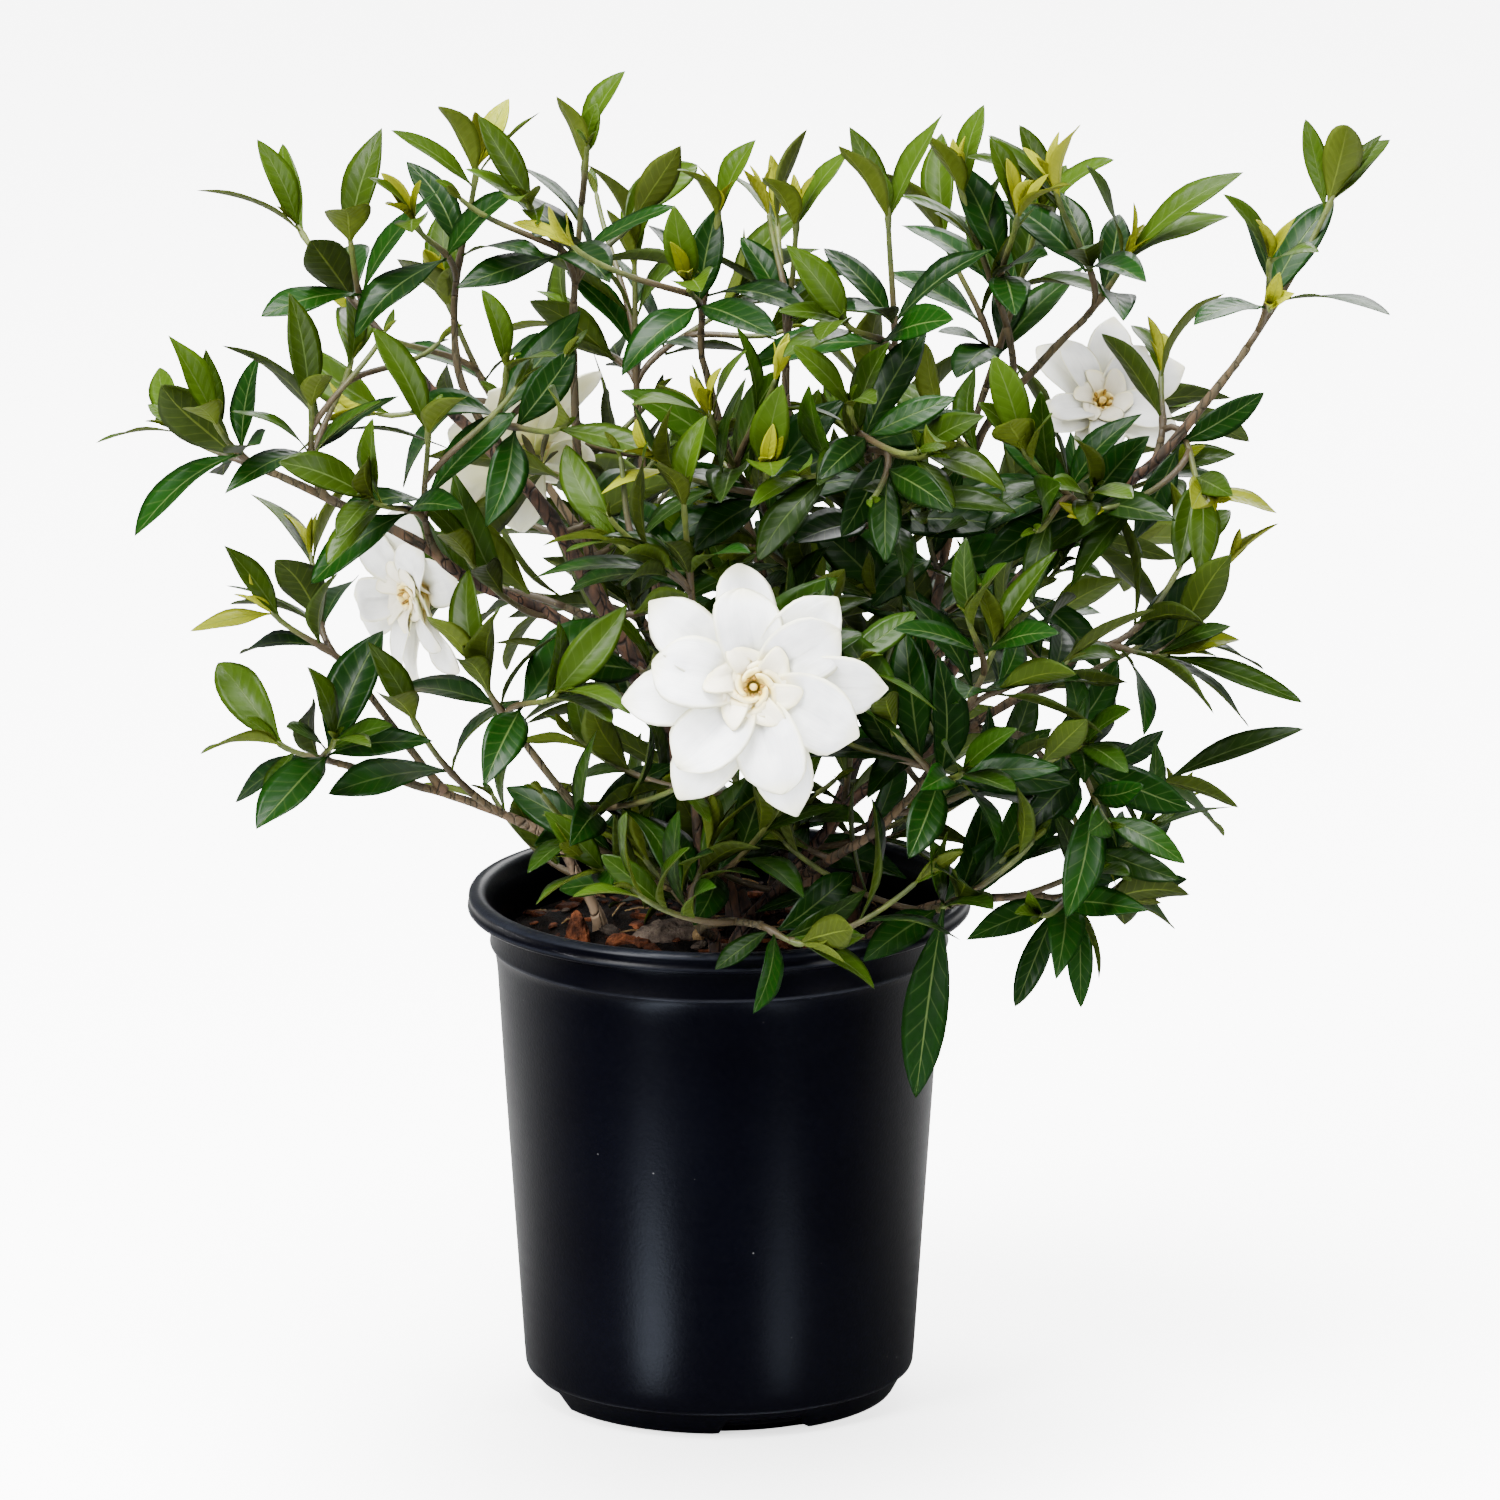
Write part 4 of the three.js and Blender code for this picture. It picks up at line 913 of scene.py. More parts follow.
class Paint:
    """Lays nodes in a shader tree. Numbers, colours and links go into a socket in the same way."""

    def __init__(self, tree):
        self.tree = tree

    def put(self, socket, value):
        if isinstance(value, bpy.types.NodeSocket):
            self.tree.links.new(value, socket)
        else:
            socket.default_value = (*value, 1) if socket.type == "RGBA" else value

    def fill(self, sockets, **values):
        for name, value in values.items():
            self.put(sockets[name.replace("_", " ")], value)

    def add(self, kind, settings=None, **inputs):
        made = self.tree.nodes.new("ShaderNode" + kind)
        for name, value in (settings or {}).items():
            setattr(made, name, value)
        self.fill(made.inputs, **inputs)
        return made

    def lay(self, kind, settings, *values, places=None):
        """A node whose inputs are filled by number."""
        made = self.add(kind, settings)
        for i, value in zip(places or range(len(values)), values):
            self.put(made.inputs[i], value)
        return made.outputs

    def maths(self, operation, a, b=0.0, c=0.0):
        return self.lay("Math", {"operation": operation}, a, b, c)[0]

    def times(self, a, b):
        return self.maths("MULTIPLY", a, b)

    def line(self, value, slope, base):
        return self.maths("MULTIPLY_ADD", value, slope, base)

    def steps(self, value, low, high, out_low=0.0, out_high=1.0):
        """A soft step from one output to the other while the value goes from low to high."""
        return self.lay("MapRange", {"interpolation_type": "SMOOTHSTEP"},
                        value, low, high, out_low, out_high)[0]

    def mix(self, factor, a, b, mode="MIX"):
        return self.lay("Mix", {"data_type": "RGBA", "blend_type": mode}, factor, a, b,
                        places=(0, 6, 7))[2]

    def shaded(self, base, shade):
        grey = self.add("CombineColor", Red=shade, Green=shade, Blue=shade).outputs[0]
        return self.mix(1.0, base, grey, "MULTIPLY")

    def place(self):
        return self.add("TexCoord").outputs["Object"]

    def stretched(self, place, tall):
        return self.add("Mapping", Vector=place, Scale=(1.0, 1.0, tall)).outputs[0]

    def split(self, vector):
        return self.add("SeparateXYZ", Vector=vector).outputs

    def distance(self, vector):
        return self.add("VectorMath", {"operation": "LENGTH"}, Vector=vector).outputs["Value"]

    def cloud(self, place, scale, detail, roughness):
        return self.add("TexNoise", Scale=scale, Detail=detail, Roughness=roughness,
                        Vector=place).outputs[0]

    def cells(self, place, scale, **settings):
        return self.add("TexVoronoi", settings, Scale=scale, Vector=place).outputs["Distance"]

    def sheet_place(self):
        """On a leaf or petal: the place across and along it, and how near to its edge."""
        across, along, _ = self.split(self.add("UVMap", {"uv_map": "place"}).outputs[0])
        return across, along, self.maths("ABSOLUTE", self.line(across, 2.0, -1.0))

    def tone(self):
        """Three numbers kept as a colour on the points: random, age or thinness, and paleness."""
        made = self.add("Attribute", {"attribute_name": "tone"})
        return self.add("SeparateColor", Color=made.outputs["Color"]).outputs[:3]

    def group(self, group, **inputs):
        made = self.tree.nodes.new("ShaderNodeGroup")
        made.node_tree = group
        self.fill(made.inputs, **inputs)
        return made.outputs

    def bump(self, skin, height, distance, strength):
        made = self.add("Bump", Height=height, Distance=distance, Strength=strength)
        self.fill(skin, Normal=made.outputs[0])


def new_group(name, inputs, outputs):
    """An empty shader group: numbers in, each with its default, and numbers out."""
    tree = bpy.data.node_groups.new(name, "ShaderNodeTree")
    for label, default in inputs.items():
        socket = tree.interface.new_socket(label, in_out="INPUT", socket_type="NodeSocketFloat")
        socket.default_value = default
    for label in outputs:
        tree.interface.new_socket(label, in_out="OUTPUT", socket_type="NodeSocketFloat")
    given = tree.nodes.new("NodeGroupInput").outputs
    return Paint(tree), given, tree.nodes.new("NodeGroupOutput").inputs


def leaf_pattern_group():
    """The midrib and the paired side veins of a leaf, from its own place map."""
    paint, given, out = new_group("leaf pattern", {"Pairs": 9.0, "Slant": 0.15},
                                  ("Rib", "Veins", "Quilt"))
    _, along, edge = paint.sheet_place()
    rib = paint.steps(paint.maths("DIVIDE", edge, paint.line(along, -0.045, 0.085)), 1.0, 0.35)
    bow = paint.times(paint.maths("POWER", edge, 0.8), given["Slant"])
    run = paint.times(paint.maths("SUBTRACT", along, bow), given["Pairs"])
    wave = paint.maths("ABSOLUTE", paint.line(paint.maths("FRACT", run), 2.0, -1.0))
    fade = paint.steps(edge, 0.98, 0.7)
    paint.fill(out, Rib=rib, Veins=paint.times(paint.steps(wave, 0.82, 1.0), fade),
               Quilt=paint.times(paint.maths("SUBTRACT", 1.0, wave), fade))
    return paint.tree


def petal_pattern_group():
    """The soft painted shade, faint lengthwise veins, deep foot and thin rim of a petal."""
    paint, given, out = new_group("petal pattern", {"Veins Scale": 26.0, "Folds": 0.5},
                                  ("Shade", "Foot", "Rim", "Veins"))
    across, along, edge = paint.sheet_place()
    stretch = paint.add("CombineXYZ", X=paint.times(across, given["Veins Scale"]),
                        Y=paint.times(along, 2.2))
    veins = paint.cloud(stretch.outputs[0], 1.0, 3.0, 0.6)
    # Painted shade: greyer towards the foot, where the petals overlap, and on the cloudy folds,
    # with a little more from the veins.
    shade = paint.times(paint.steps(along, 0.75, 0.15), 0.6)
    shade = paint.line(paint.steps(given["Folds"], 0.4, 0.66), 0.4, shade)
    shade = paint.line(paint.steps(veins, 0.45, 0.75), 0.16, shade)
    foot = paint.steps(along, 0.4, 0.05)
    rim = paint.times(paint.steps(paint.maths("MAXIMUM", edge, along), 0.82, 1.0), 0.7)
    paint.fill(out, Shade=shade, Foot=foot, Rim=rim, Veins=veins)
    return paint.tree


def surface_grain_group():
    """Coarse and fine cloudy grain, from a piece's own place."""
    paint, given, out = new_group("surface grain", {"Coarse Scale": 100.0, "Fine Scale": 400.0,
                                                    "Detail": 4.0}, ("Coarse", "Fine"))
    place = paint.place()
    paint.fill(out, Coarse=paint.cloud(place, given["Coarse Scale"], given["Detail"], 0.6),
               Fine=paint.cloud(place, given["Fine Scale"], 2.0, 0.6))
    return paint.tree


def new_material(name):
    material = bpy.data.materials.new(name)
    material.use_nodes = True
    tree = material.node_tree
    tree.nodes.clear()
    shader = tree.nodes.new("ShaderNodeBsdfPrincipled")
    out = tree.nodes.new("ShaderNodeOutputMaterial")
    tree.links.new(shader.outputs[0], out.inputs["Surface"])
    return material, Paint(tree), shader.inputs


LEAF_PATTERN = leaf_pattern_group()
PETAL_PATTERN = petal_pattern_group()
SURFACE_GRAIN = surface_grain_group()


def leaf_material(name, colours, rib, rough, gloss, relief):
    """A glossy or matt leaf face. colours run from old through grown to newest."""
    material, paint, skin = new_material(name)
    random, age, _ = paint.tone()
    veins = paint.group(LEAF_PATTERN)
    grains = paint.group(SURFACE_GRAIN, Coarse_Scale=90.0, Fine_Scale=260.0)
    old, grown, new = colours
    base = paint.mix(paint.steps(age, 0.1, 0.75), old, grown)
    base = paint.mix(paint.steps(age, 0.85, 1.15), base, new)
    shade = paint.times(paint.line(random, 0.7, 0.6), paint.line(grains["Coarse"], 0.5, 0.75))
    base = paint.shaded(base, shade)
    base = paint.mix(paint.times(veins["Veins"], 0.2), base, rib)
    base = paint.mix(paint.times(veins["Rib"], 0.6), base, rib)
    paint.fill(skin, Base_Color=base, Roughness=paint.line(grains["Fine"], 0.16, rough),
               Specular_IOR_Level=gloss)
    height = paint.times(veins["Quilt"], relief)
    height = paint.line(veins["Rib"], -1.2 * relief, height)
    paint.bump(skin, paint.line(grains["Fine"], 0.08, height), 0.0004, 0.7)
    return material


def stem_material(name, colour, dark, woody, rough):
    """Green stem skin that turns woody towards its foot: fine streaks and small pale pores."""
    material, paint, skin = new_material(name)
    age = paint.tone()[1]
    grains = paint.group(SURFACE_GRAIN, Coarse_Scale=120.0, Fine_Scale=420.0)
    streak, pores = grains["Coarse"], grains["Fine"]
    base = paint.mix(paint.steps(streak, 0.35, 0.65), colour, dark)
    aged = paint.steps(paint.line(streak, 0.5, age), 1.05, 0.55)
    base = paint.mix(paint.times(aged, 0.85), base, woody)
    base = paint.mix(paint.steps(pores, 0.66, 0.74), base, (0.12, 0.1, 0.03))
    paint.fill(skin, Base_Color=base, Roughness=rough)
    paint.bump(skin, paint.maths("ADD", streak, pores), 0.0004, 0.6)
    return material


def bark_material():
    """Reddish-brown bark: plates, lengthwise cracks, pale peeled patches."""
    material, paint, skin = new_material("bark")
    place = paint.place()
    stretch = paint.stretched(place, 0.3)
    plates = paint.cells(stretch, 190.0, feature="DISTANCE_TO_EDGE")
    grain = paint.cloud(stretch, 160.0, 6.0, 0.62)
    patches = paint.cloud(place, 30.0, 3.0, 0.5)
    cracks = paint.steps(plates, 0.0, 0.09)
    base = paint.mix(paint.steps(grain, 0.36, 0.66), (0.018, 0.008, 0.004),
                     (0.085, 0.038, 0.018))
    base = paint.mix(paint.steps(patches, 0.56, 0.7), base, (0.13, 0.075, 0.04))
    base = paint.mix(cracks, (0.008, 0.004, 0.002), base)
    _, thin, pale = paint.tone()
    base = paint.mix(paint.times(thin, 0.75), base, (0.045, 0.036, 0.009))
    base = paint.mix(paint.times(pale, paint.steps(grain, 0.3, 0.5)), base, (0.22, 0.15, 0.09))
    paint.fill(skin, Base_Color=base, Roughness=paint.steps(grain, 0.2, 0.8, 0.7, 0.95))
    paint.bump(skin, paint.line(grain, 0.8, cracks), 0.0009, 0.9)
    return material


def petal_material(name, body, shade, throat, rim, glow):
    """Thick white petal: cream at the foot and along the rim, faint lengthwise veins, painted grey
    shade.
    """
    material, paint, skin = new_material(name)
    age = paint.tone()[1]
    grains = paint.group(SURFACE_GRAIN, Coarse_Scale=55.0, Fine_Scale=900.0, Detail=2.0)
    petal = paint.group(PETAL_PATTERN, Folds=grains["Coarse"])
    # The shade colour is laid as painted shade, towards the foot and on the folds.
    base = paint.mix(petal["Shade"], body, shade)
    base = paint.mix(petal["Foot"], base, throat)
    base = paint.mix(petal["Rim"], base, rim)
    base = paint.mix(age, base, throat)
    paint.fill(skin, Base_Color=base, Roughness=paint.steps(grains["Fine"], 0.2, 0.8, 0.42, 0.6),
               Subsurface_Weight=glow, Subsurface_Radius=(0.6, 0.55, 0.42),
               Subsurface_Scale=0.004)
    paint.bump(skin, paint.line(grains["Fine"], 0.2, petal["Veins"]), 0.0005, 0.35)
    return material


def heart_material(name, low, high, rough):
    """Finely grained matter in two tones, for the style and the anthers."""
    material, paint, skin = new_material(name)
    grain = paint.group(SURFACE_GRAIN, Fine_Scale=900.0)["Fine"]
    paint.fill(skin, Base_Color=paint.mix(paint.steps(grain, 0.35, 0.65), low, high),
               Roughness=rough)
    paint.bump(skin, grain, 0.0004, 0.8)
    return material


def pot_material():
    """Semi-gloss black plastic: moulding grain, scuffs, pale specks and patches, painted highlights
    on seams, bead and lip.
    """
    material, paint, skin = new_material("pot_plastic")
    place = paint.place()
    height = paint.split(place)[2]
    grains = paint.group(SURFACE_GRAIN, Coarse_Scale=14.0, Fine_Scale=700.0, Detail=5.0)
    wide = grains["Coarse"]
    rubs = paint.cloud(paint.stretched(place, 9.0), 26.0, 6.0, 0.7)

    def ring(low, full, fading, gone):
        return paint.times(paint.steps(height, low, full), paint.steps(height, gone, fading))

    base = paint.mix(paint.steps(wide, 0.3, 0.75), (0.0001, 0.0001, 0.0012),
                     (0.0002, 0.0003, 0.0018))
    # Painted highlights: thin pale lines on the collar's seam and the foot's step, where their
    # edges would catch light, broken up by the grain.
    seam_glint, foot_seam_glint = ring(0.2160, 0.2166, 0.2174, 0.2182), ring(0.0112, 0.0118, 0.0124, 0.0134)
    seam_glints = paint.times(paint.line(foot_seam_glint, 1.5, seam_glint), paint.steps(wide, 0.25, 0.6))
    base = paint.mix(paint.times(seam_glints, 0.35), base, (0.02, 0.022, 0.028))
    lip = paint.steps(height, 0.2322, 0.2330)
    # Painted highlights on the lip: a lighter band on its top and a thin line on its bead, broken
    # up by the rubs.
    lip_top_highlight = paint.steps(height, 0.2390, 0.2402)
    bead_highlight = ring(0.2340, 0.2345, 0.2351, 0.2357)
    lit = paint.times(paint.line(bead_highlight, 0.6, lip_top_highlight), paint.steps(rubs, 0.25, 0.6))
    base = paint.mix(paint.times(lit, 0.85), base, (0.009, 0.0105, 0.015))
    # Pale patches on the lip, where the rubs are strongest.
    lip_patches = paint.times(paint.steps(rubs, 0.64, 0.74), lip)
    base = paint.mix(paint.times(lip_patches, 0.35), base, (0.12, 0.12, 0.13))
    speck = paint.cells(place, 95.0)
    specks = paint.times(paint.steps(speck, 0.05, 0.03), paint.steps(wide, 0.54, 0.62))
    base = paint.mix(paint.times(specks, 0.3), base, (0.2, 0.2, 0.2))
    rough = paint.line(rubs, 0.08, paint.line(wide, 0.1, 0.24))
    paint.fill(skin, Base_Color=base, Roughness=rough, Specular_IOR_Level=0.11)
    paint.bump(skin, paint.line(wide, 1.5, grains["Fine"]), 0.00025, 0.35)
    return material


def earth_material(name, low, high, scale, rough=0.95):
    """Crumbly or fibrous matter in two tones."""
    material, paint, skin = new_material(name)
    random = paint.tone()[0]
    grains = paint.group(SURFACE_GRAIN, Coarse_Scale=scale, Fine_Scale=scale * 4, Detail=6.0)
    base = paint.mix(paint.steps(grains["Coarse"], 0.36, 0.66), low, high)
    base = paint.shaded(base, paint.line(random, 1.1, 0.45))
    paint.fill(skin, Base_Color=base, Roughness=rough, Specular_IOR_Level=0.12)
    paint.bump(skin, paint.maths("ADD", grains["Coarse"], grains["Fine"]), 0.0012, 0.9)
    return material


# Blooms

PETAL_SHEET = Sheet([0, 0.07, 0.15, 0.24, 0.34, 0.44, 0.54, 0.64, 0.73, 0.81, 0.88, 0.935, 0.972,
                     0.992], [-1, -0.88, -0.7, -0.47, -0.23, 0, 0.23, 0.47, 0.7, 0.88, 1])
PETAL_WIDTH = [(0, 0.26), (0.12, 0.46), (0.28, 0.76), (0.45, 0.95), (0.6, 1.0), (0.72, 0.95),
               (0.82, 0.78), (0.9, 0.49), (0.96, 0.21), (1, 0.02)]
ROUND_WIDTH = PETAL_WIDTH[:5] + [(0.74, 0.97), (0.84, 0.88), (0.92, 0.68), (0.97, 0.42), (1, 0.1)]


def add_petal(piece, bloom, petal, lift, key, height, inset, curl, cup, age):
    """One petal: rises from its foot, cups, and curls back towards its pointed tip."""
    centre, axis, u, v = bloom
    angle, length, half, swing, roundness = petal
    s, t = PETAL_SHEET.s, PETAL_SHEET.t
    outward = outward_at(u, v, math.radians(angle))
    aside = np.cross(axis, outward)
    slope = (lift + 0.3 * smooth(0.5, 0.0, s) - curl * smooth(0.4, 1.05, s))[:, 0]
    step = np.diff(s[:, 0], prepend=0)
    run = np.cumsum(np.cos(slope) * step)[:, None]
    rise = np.cumsum(np.sin(slope) * step)[:, None]
    stretch = (length - inset) / max(run[-1, 0], 0.4)
    run, rise = run * stretch, rise * stretch
    width = lerp(profile(s, PETAL_WIDTH), profile(s, ROUND_WIDTH), roundness)
    x = t * half * width - swing * half * smooth(0.35, 1.0, s)
    wave = draw(*key, 1) * 6.28
    edge = np.abs(t)
    hollow = cup * half * (edge**2 - 0.5) * (1 - 1.2 * smooth(0.55, 1.0, s)) * smooth(0, 0.3, s)
    ruffle = 0.09 * half * edge**2 * np.sin(7 * s + wave + 2.4 * (t > 0)) * smooth(0.1, 0.6, s)
    crease = -0.09 * half * np.exp(-(t / 0.2) ** 2) * smooth(1.0, 0.6, s)
    crease = crease + (0.05 * half * np.sin(13 * t + wave) * np.sin(5 * s + wave)
                       * smooth(0, 0.4, s))
    thick = 0.4 * np.sqrt(np.clip(1 - t**2, 0, 1)) * smooth(1.04, 0.75, s) + 0.02
    face = (axis * np.cos(slope)[:, None] - outward * np.sin(slope)[:, None])[:, None, :]
    middle = (centre + outward * inset + axis * height + outward * run[..., None]
              + axis * rise[..., None] + aside * x[..., None])
    PETAL_SHEET.add(piece, middle, face, hollow + ruffle + crease + PETAL_ROLL * t * half * width,
                    thick, (0, 1), (draw(*key, 2), age, 0.5),
                    beyond=outward * length * (0.004 + 0.008 * roundness))


SWIRL_ROWS, SWIRL_COLUMNS = 19, 8
# Wound petals: how many, the radii of foot and rim and the height as they wind, turn, warmth
SWIRLS = [(7, (4.8, 12.5), (8.2, 18.5), (10.5, 6.0), 1.75, 1.3),
          (5, (3.9, 5.6), (5.4, 10.5), (10.8, 9.5), 1.7, 2.0)]


def swirl_faces():
    """A thin closed sheet: its front, its back and the border between them."""
    high, wide = SWIRL_ROWS, SWIRL_COLUMNS
    size = high * wide
    faces = []
    for a in range(high - 1):
        for b in range(wide - 1):
            p = a * wide + b
            faces.append((p, p + 1, p + 1 + wide, p + wide))
            faces.append((size + p, size + p + wide, size + p + 1 + wide, size + p + 1))
    border = ([a * wide for a in range(high)]
              + [(high - 1) * wide + b for b in range(1, wide)]
              + [a * wide + wide - 1 for a in range(high - 2, -1, -1)]
              + list(range(wide - 2, 0, -1)))
    return faces + [(p, q, size + q, size + p) for p, q in zip(border, border[1:] + border[:1])]


def add_swirl(piece, bloom, swirl, scale, seed):
    """Petals wound round the heart. Each leans out, and its rim winds outwards and sinks."""
    centre, axis, u, v = bloom
    count, *ends, sweep, warmth = swirl
    foot, rim, tall = ((first * scale, last * scale) for first, last in ends)
    s = np.linspace(0, 1, SWIRL_ROWS)[:, None]
    t = np.linspace(0, 1, SWIRL_COLUMNS)[None, :]
    place = np.stack(np.broadcast_arrays(0.5 + 0 * s, 0.45 + 0.5 * t), -1).reshape(-1, 2)
    shade = np.clip(warmth * (1 - 0.7 * t**2) * (1 - 0.45 * s), 0, 1)
    for i in range(count):
        start = math.tau * i / count + spread(draw(seed, i, 7), 0, 0.22)
        turn = sweep * spread(draw(seed, i, 8), 1, 0.18)
        angle = start - turn * s + 0.35 * t * (1 - s)
        reach = lerp(lerp(*foot, s), lerp(*rim, s**0.9), t**1.7)
        wall = lerp(*tall, s) * (0.55 + 0.45 * smooth(0, 0.18, s)) * smooth(1.06, 0.8, s)
        height = wall * np.sin(t * 1.95) / math.sin(1.57)
        out = u * np.cos(angle)[..., None] + v * np.sin(angle)[..., None]
        middle = centre + out * reach[..., None] + axis * height[..., None]
        face = (out * (0.9 - 0.8 * t)[..., None] - axis * (0.3 + 0.9 * t)[..., None]
                + np.cross(axis, out) * 0.25)
        face = face / np.linalg.norm(face, axis=-1, keepdims=True)
        thick = 0.42 * np.sqrt(np.clip(1 - (2 * s - 1) ** 6, 0.01, 1)) * np.sqrt(1.02 - t**4)
        skin = [middle - face * thick[..., None], middle + face * thick[..., None]]
        tones = np.full((2 * shade.size, 3), draw(seed, i, 2))
        tones[:, 1] = np.tile(shade.ravel(), 2)
        piece.add(np.reshape(skin, (-1, 3)), swirl_faces(), 0, np.vstack([place, place]), tones)


def even_whorl(count, radius, seed, start):
    return [(spread(draw(seed, i, 5), start + 360 * i / count, 14),
             radius * (0.93 + 0.12 * draw(seed, i, 6)), radius * 0.27,
             spread(draw(seed, i, 9), 0, 0.4), 0.6 * draw(seed, i, 10)) for i in range(count)]


def lump_turns(rows, sides):
    """The angles of a rounded lump's points, from its foot to its head and round it."""
    return [(math.pi * i / rows, angle) for i in range(1, rows) for angle in ring_angles(sides)]


def add_blob(piece, centre, axes, kind, rows, sides):
    """A small rounded grain from its centre and three half-axes."""
    a, b, c = axes
    rings = [centre + math.sin(turn) * outward_at(a, b, angle) - c * math.cos(turn)
             for turn, angle in lump_turns(rows, sides)]
    piece.add(np.vstack([rings, [centre - c, centre + c]]),
              ring_faces(rows - 1, sides, len(rings), len(rings) + 1), kind)


def make_bloom(number, materials):
    spec = BLOOMS[number]
    bloom = bloom_frame(number)
    piece = Piece()
    radius, lift = spec["radius"], math.radians(spec["lift"])
    scale = radius / FRONT_RADIUS
    if number == 1:
        outer, inner, cream = FRONT_OUTER, FRONT_INNER, 0.0
    else:
        outer, cream = even_whorl(6, radius, number, 20), 0.07
        inner = even_whorl(5, radius * 0.8, number + 10, 50)
    third = [(i * 60 - 50 + 18 * draw(number, i, 15), (17.5 + 2.5 * draw(number, i, 16)) * scale,
              9.8 * scale, -0.6 - 0.3 * draw(number, i, 17), 1.0) for i in range(6)]
    # Petals, how much steeper they stand than the outer ones, height, inset, curl, cup, age
    whorls = [(outer, 0, -2.2, 1, 0.45, 0.22, cream),
              (inner, 12, 1.0, 2.5, 0.7, 0.22, cream),
              (third, 26, 3.2, 3, 0.72, 0.3, 0.34)]
    for row, (petals, steeper, *stand) in enumerate(whorls):
        for i, petal in enumerate(petals):
            add_petal(piece, bloom, petal, lift + math.radians(steeper), (number, 20 * row + i),
                      *stand)
    for i, swirl in enumerate(SWIRLS):
        add_swirl(piece, bloom, swirl, scale, number * 5 + i)
    piece.make("bloom_%d_petals" % number, materials, "petal", "bloom_%d" % number)


def make_heart(number, materials):
    """A cream style with a ring of brown-gold anthers."""
    centre, axis, u, v = bloom_frame(number)
    piece = Piece()
    foot = centre + axis * (BOSS_RISE + GAP)
    points, faces, places = tube([foot, foot + axis * 2, foot + axis * 4], [1.5, 1.4, 1.5], 10)
    piece.add(points, faces, 0, places)
    add_blob(piece, foot + axis * 4.6, (u * 1.9, v * 1.8, axis * 2.2), 0, 8, 12)
    for i in range(6):
        out = outward_at(u, v, math.pi * i / 3 + 0.5 * draw(number, i, 13))
        side = np.cross(axis, out)
        stand = unit(axis + 0.35 * out)
        middle = foot + out * 3.9 + axis * (4.4 + 0.9 * draw(number, i, 14))
        add_blob(piece, middle, (side * 0.95, np.cross(stand, side) * 0.75, stand * 2.3), 1, 6, 8)
    piece.make("heart_%d_anthers" % number, materials, "heart", "heart_%d" % number)


# Shoots

def add_axis(piece, axis, kind):
    """A green stem with a swelling at each whorl, and a bud or a bloom's calyx on its end."""
    curve, begin = axis["curve"], axis["begin"]
    length = np.linalg.norm(curve.point(1) - curve.point(begin))
    shares = np.linspace(begin, 1, max(8, int(length / 5)))
    at = (shares - begin) / (1 - begin)
    radii = lerp(GREEN_RADIUS, TIP_RADIUS, at)
    for whorl in axis["whorls"]:
        radii = radii + 0.55 * np.exp(-((shares - whorl["at"]) * length / 2.2) ** 2)
    tangent, bud = curve.tangent(1), BUD_LENGTH
    if axis["bloom"]:
        radii, bud = radii + 2.2 * smooth(0.93, 1.0, shares), 0.2
    points, faces, places = tube([curve.point(s) for s in shares], radii, STEM_SIDES,
                                 tip=curve.point(1) + tangent * bud)
    tones = np.full((len(points), 3), 0.5)
    tones[:, 1] = np.append(np.repeat(at, STEM_SIDES), 1)
    piece.add(points, faces, kind, places, tones)
    if axis["bloom"]:
        u = square_to(tangent)
        v = np.cross(tangent, u)
        foot = curve.point(1) - tangent * 4
        for i in range(6):
            out = outward_at(u, v, math.pi * i / 3)
            sepal = leaf_blade(foot + out * 2.6, unit(tangent * 0.5 + out), tangent, 16, 1.7,
                               -0.1, age=0.6, key=(axis["bloom"], i))
            add_leaf(piece, sepal, (kind, kind), PLAIN_TONE)


def leaf_age(leaf, young, fresh):
    """A leaf's colour tone from 0 for old and dark to above 1 for newest: its age, and its place in
    the crown.
    """
    x, _, z = leaf["root"]
    fair = max(smooth(330, 490, z), 0.8 * smooth(-80, -160, x))
    if leaf.get("reach") and x > 60 and z < 270:
        return 0.1
    if leaf["age"] > 1.1:
        if young and not leaf.get("low"):
            return 0.82 + 0.18 * fair + 0.22 * fresh * fair
        return 0.68 + 0.16 * fresh
    age = min(leaf["age"], 1) * 0.7
    if young and age > 0.6 and fresh < 0.3 * fair and leaf["length"] < 50:
        return 0.96 + 0.4 * fresh
    # By place alone: paler towards the upper left and the top, darker at the lower right.
    age += 0.1 * smooth(60, -60, x) * smooth(330, 420, z) + 0.06 * smooth(430, 540, z)
    return age - 0.34 * smooth(0, 90, x) * smooth(440, 340, z)


def make_shoot(shoot, materials):
    piece = Piece()
    for axis in shoot["axes"]:
        add_axis(piece, axis, 2)
    young = shoot["seed"] in YOUNG_SHOOTS
    for number, axis in enumerate(shoot["axes"]):
        if not axis["bloom"]:
            shoot["leaves"] += tip_leaves(axis, shoot["seed"] * 10 + number,
                                          young and not axis.get("low"))
    for leaf in shoot["leaves"]:
        age = leaf_age(leaf, young, draw(*leaf["key"], 90))
        add_leaf(piece, leaf, (0, 1), (draw(*leaf["key"], 91), age, 0.5))
    piece.make(shoot["name"] + "_leaves", materials, "leaf", shoot["name"])


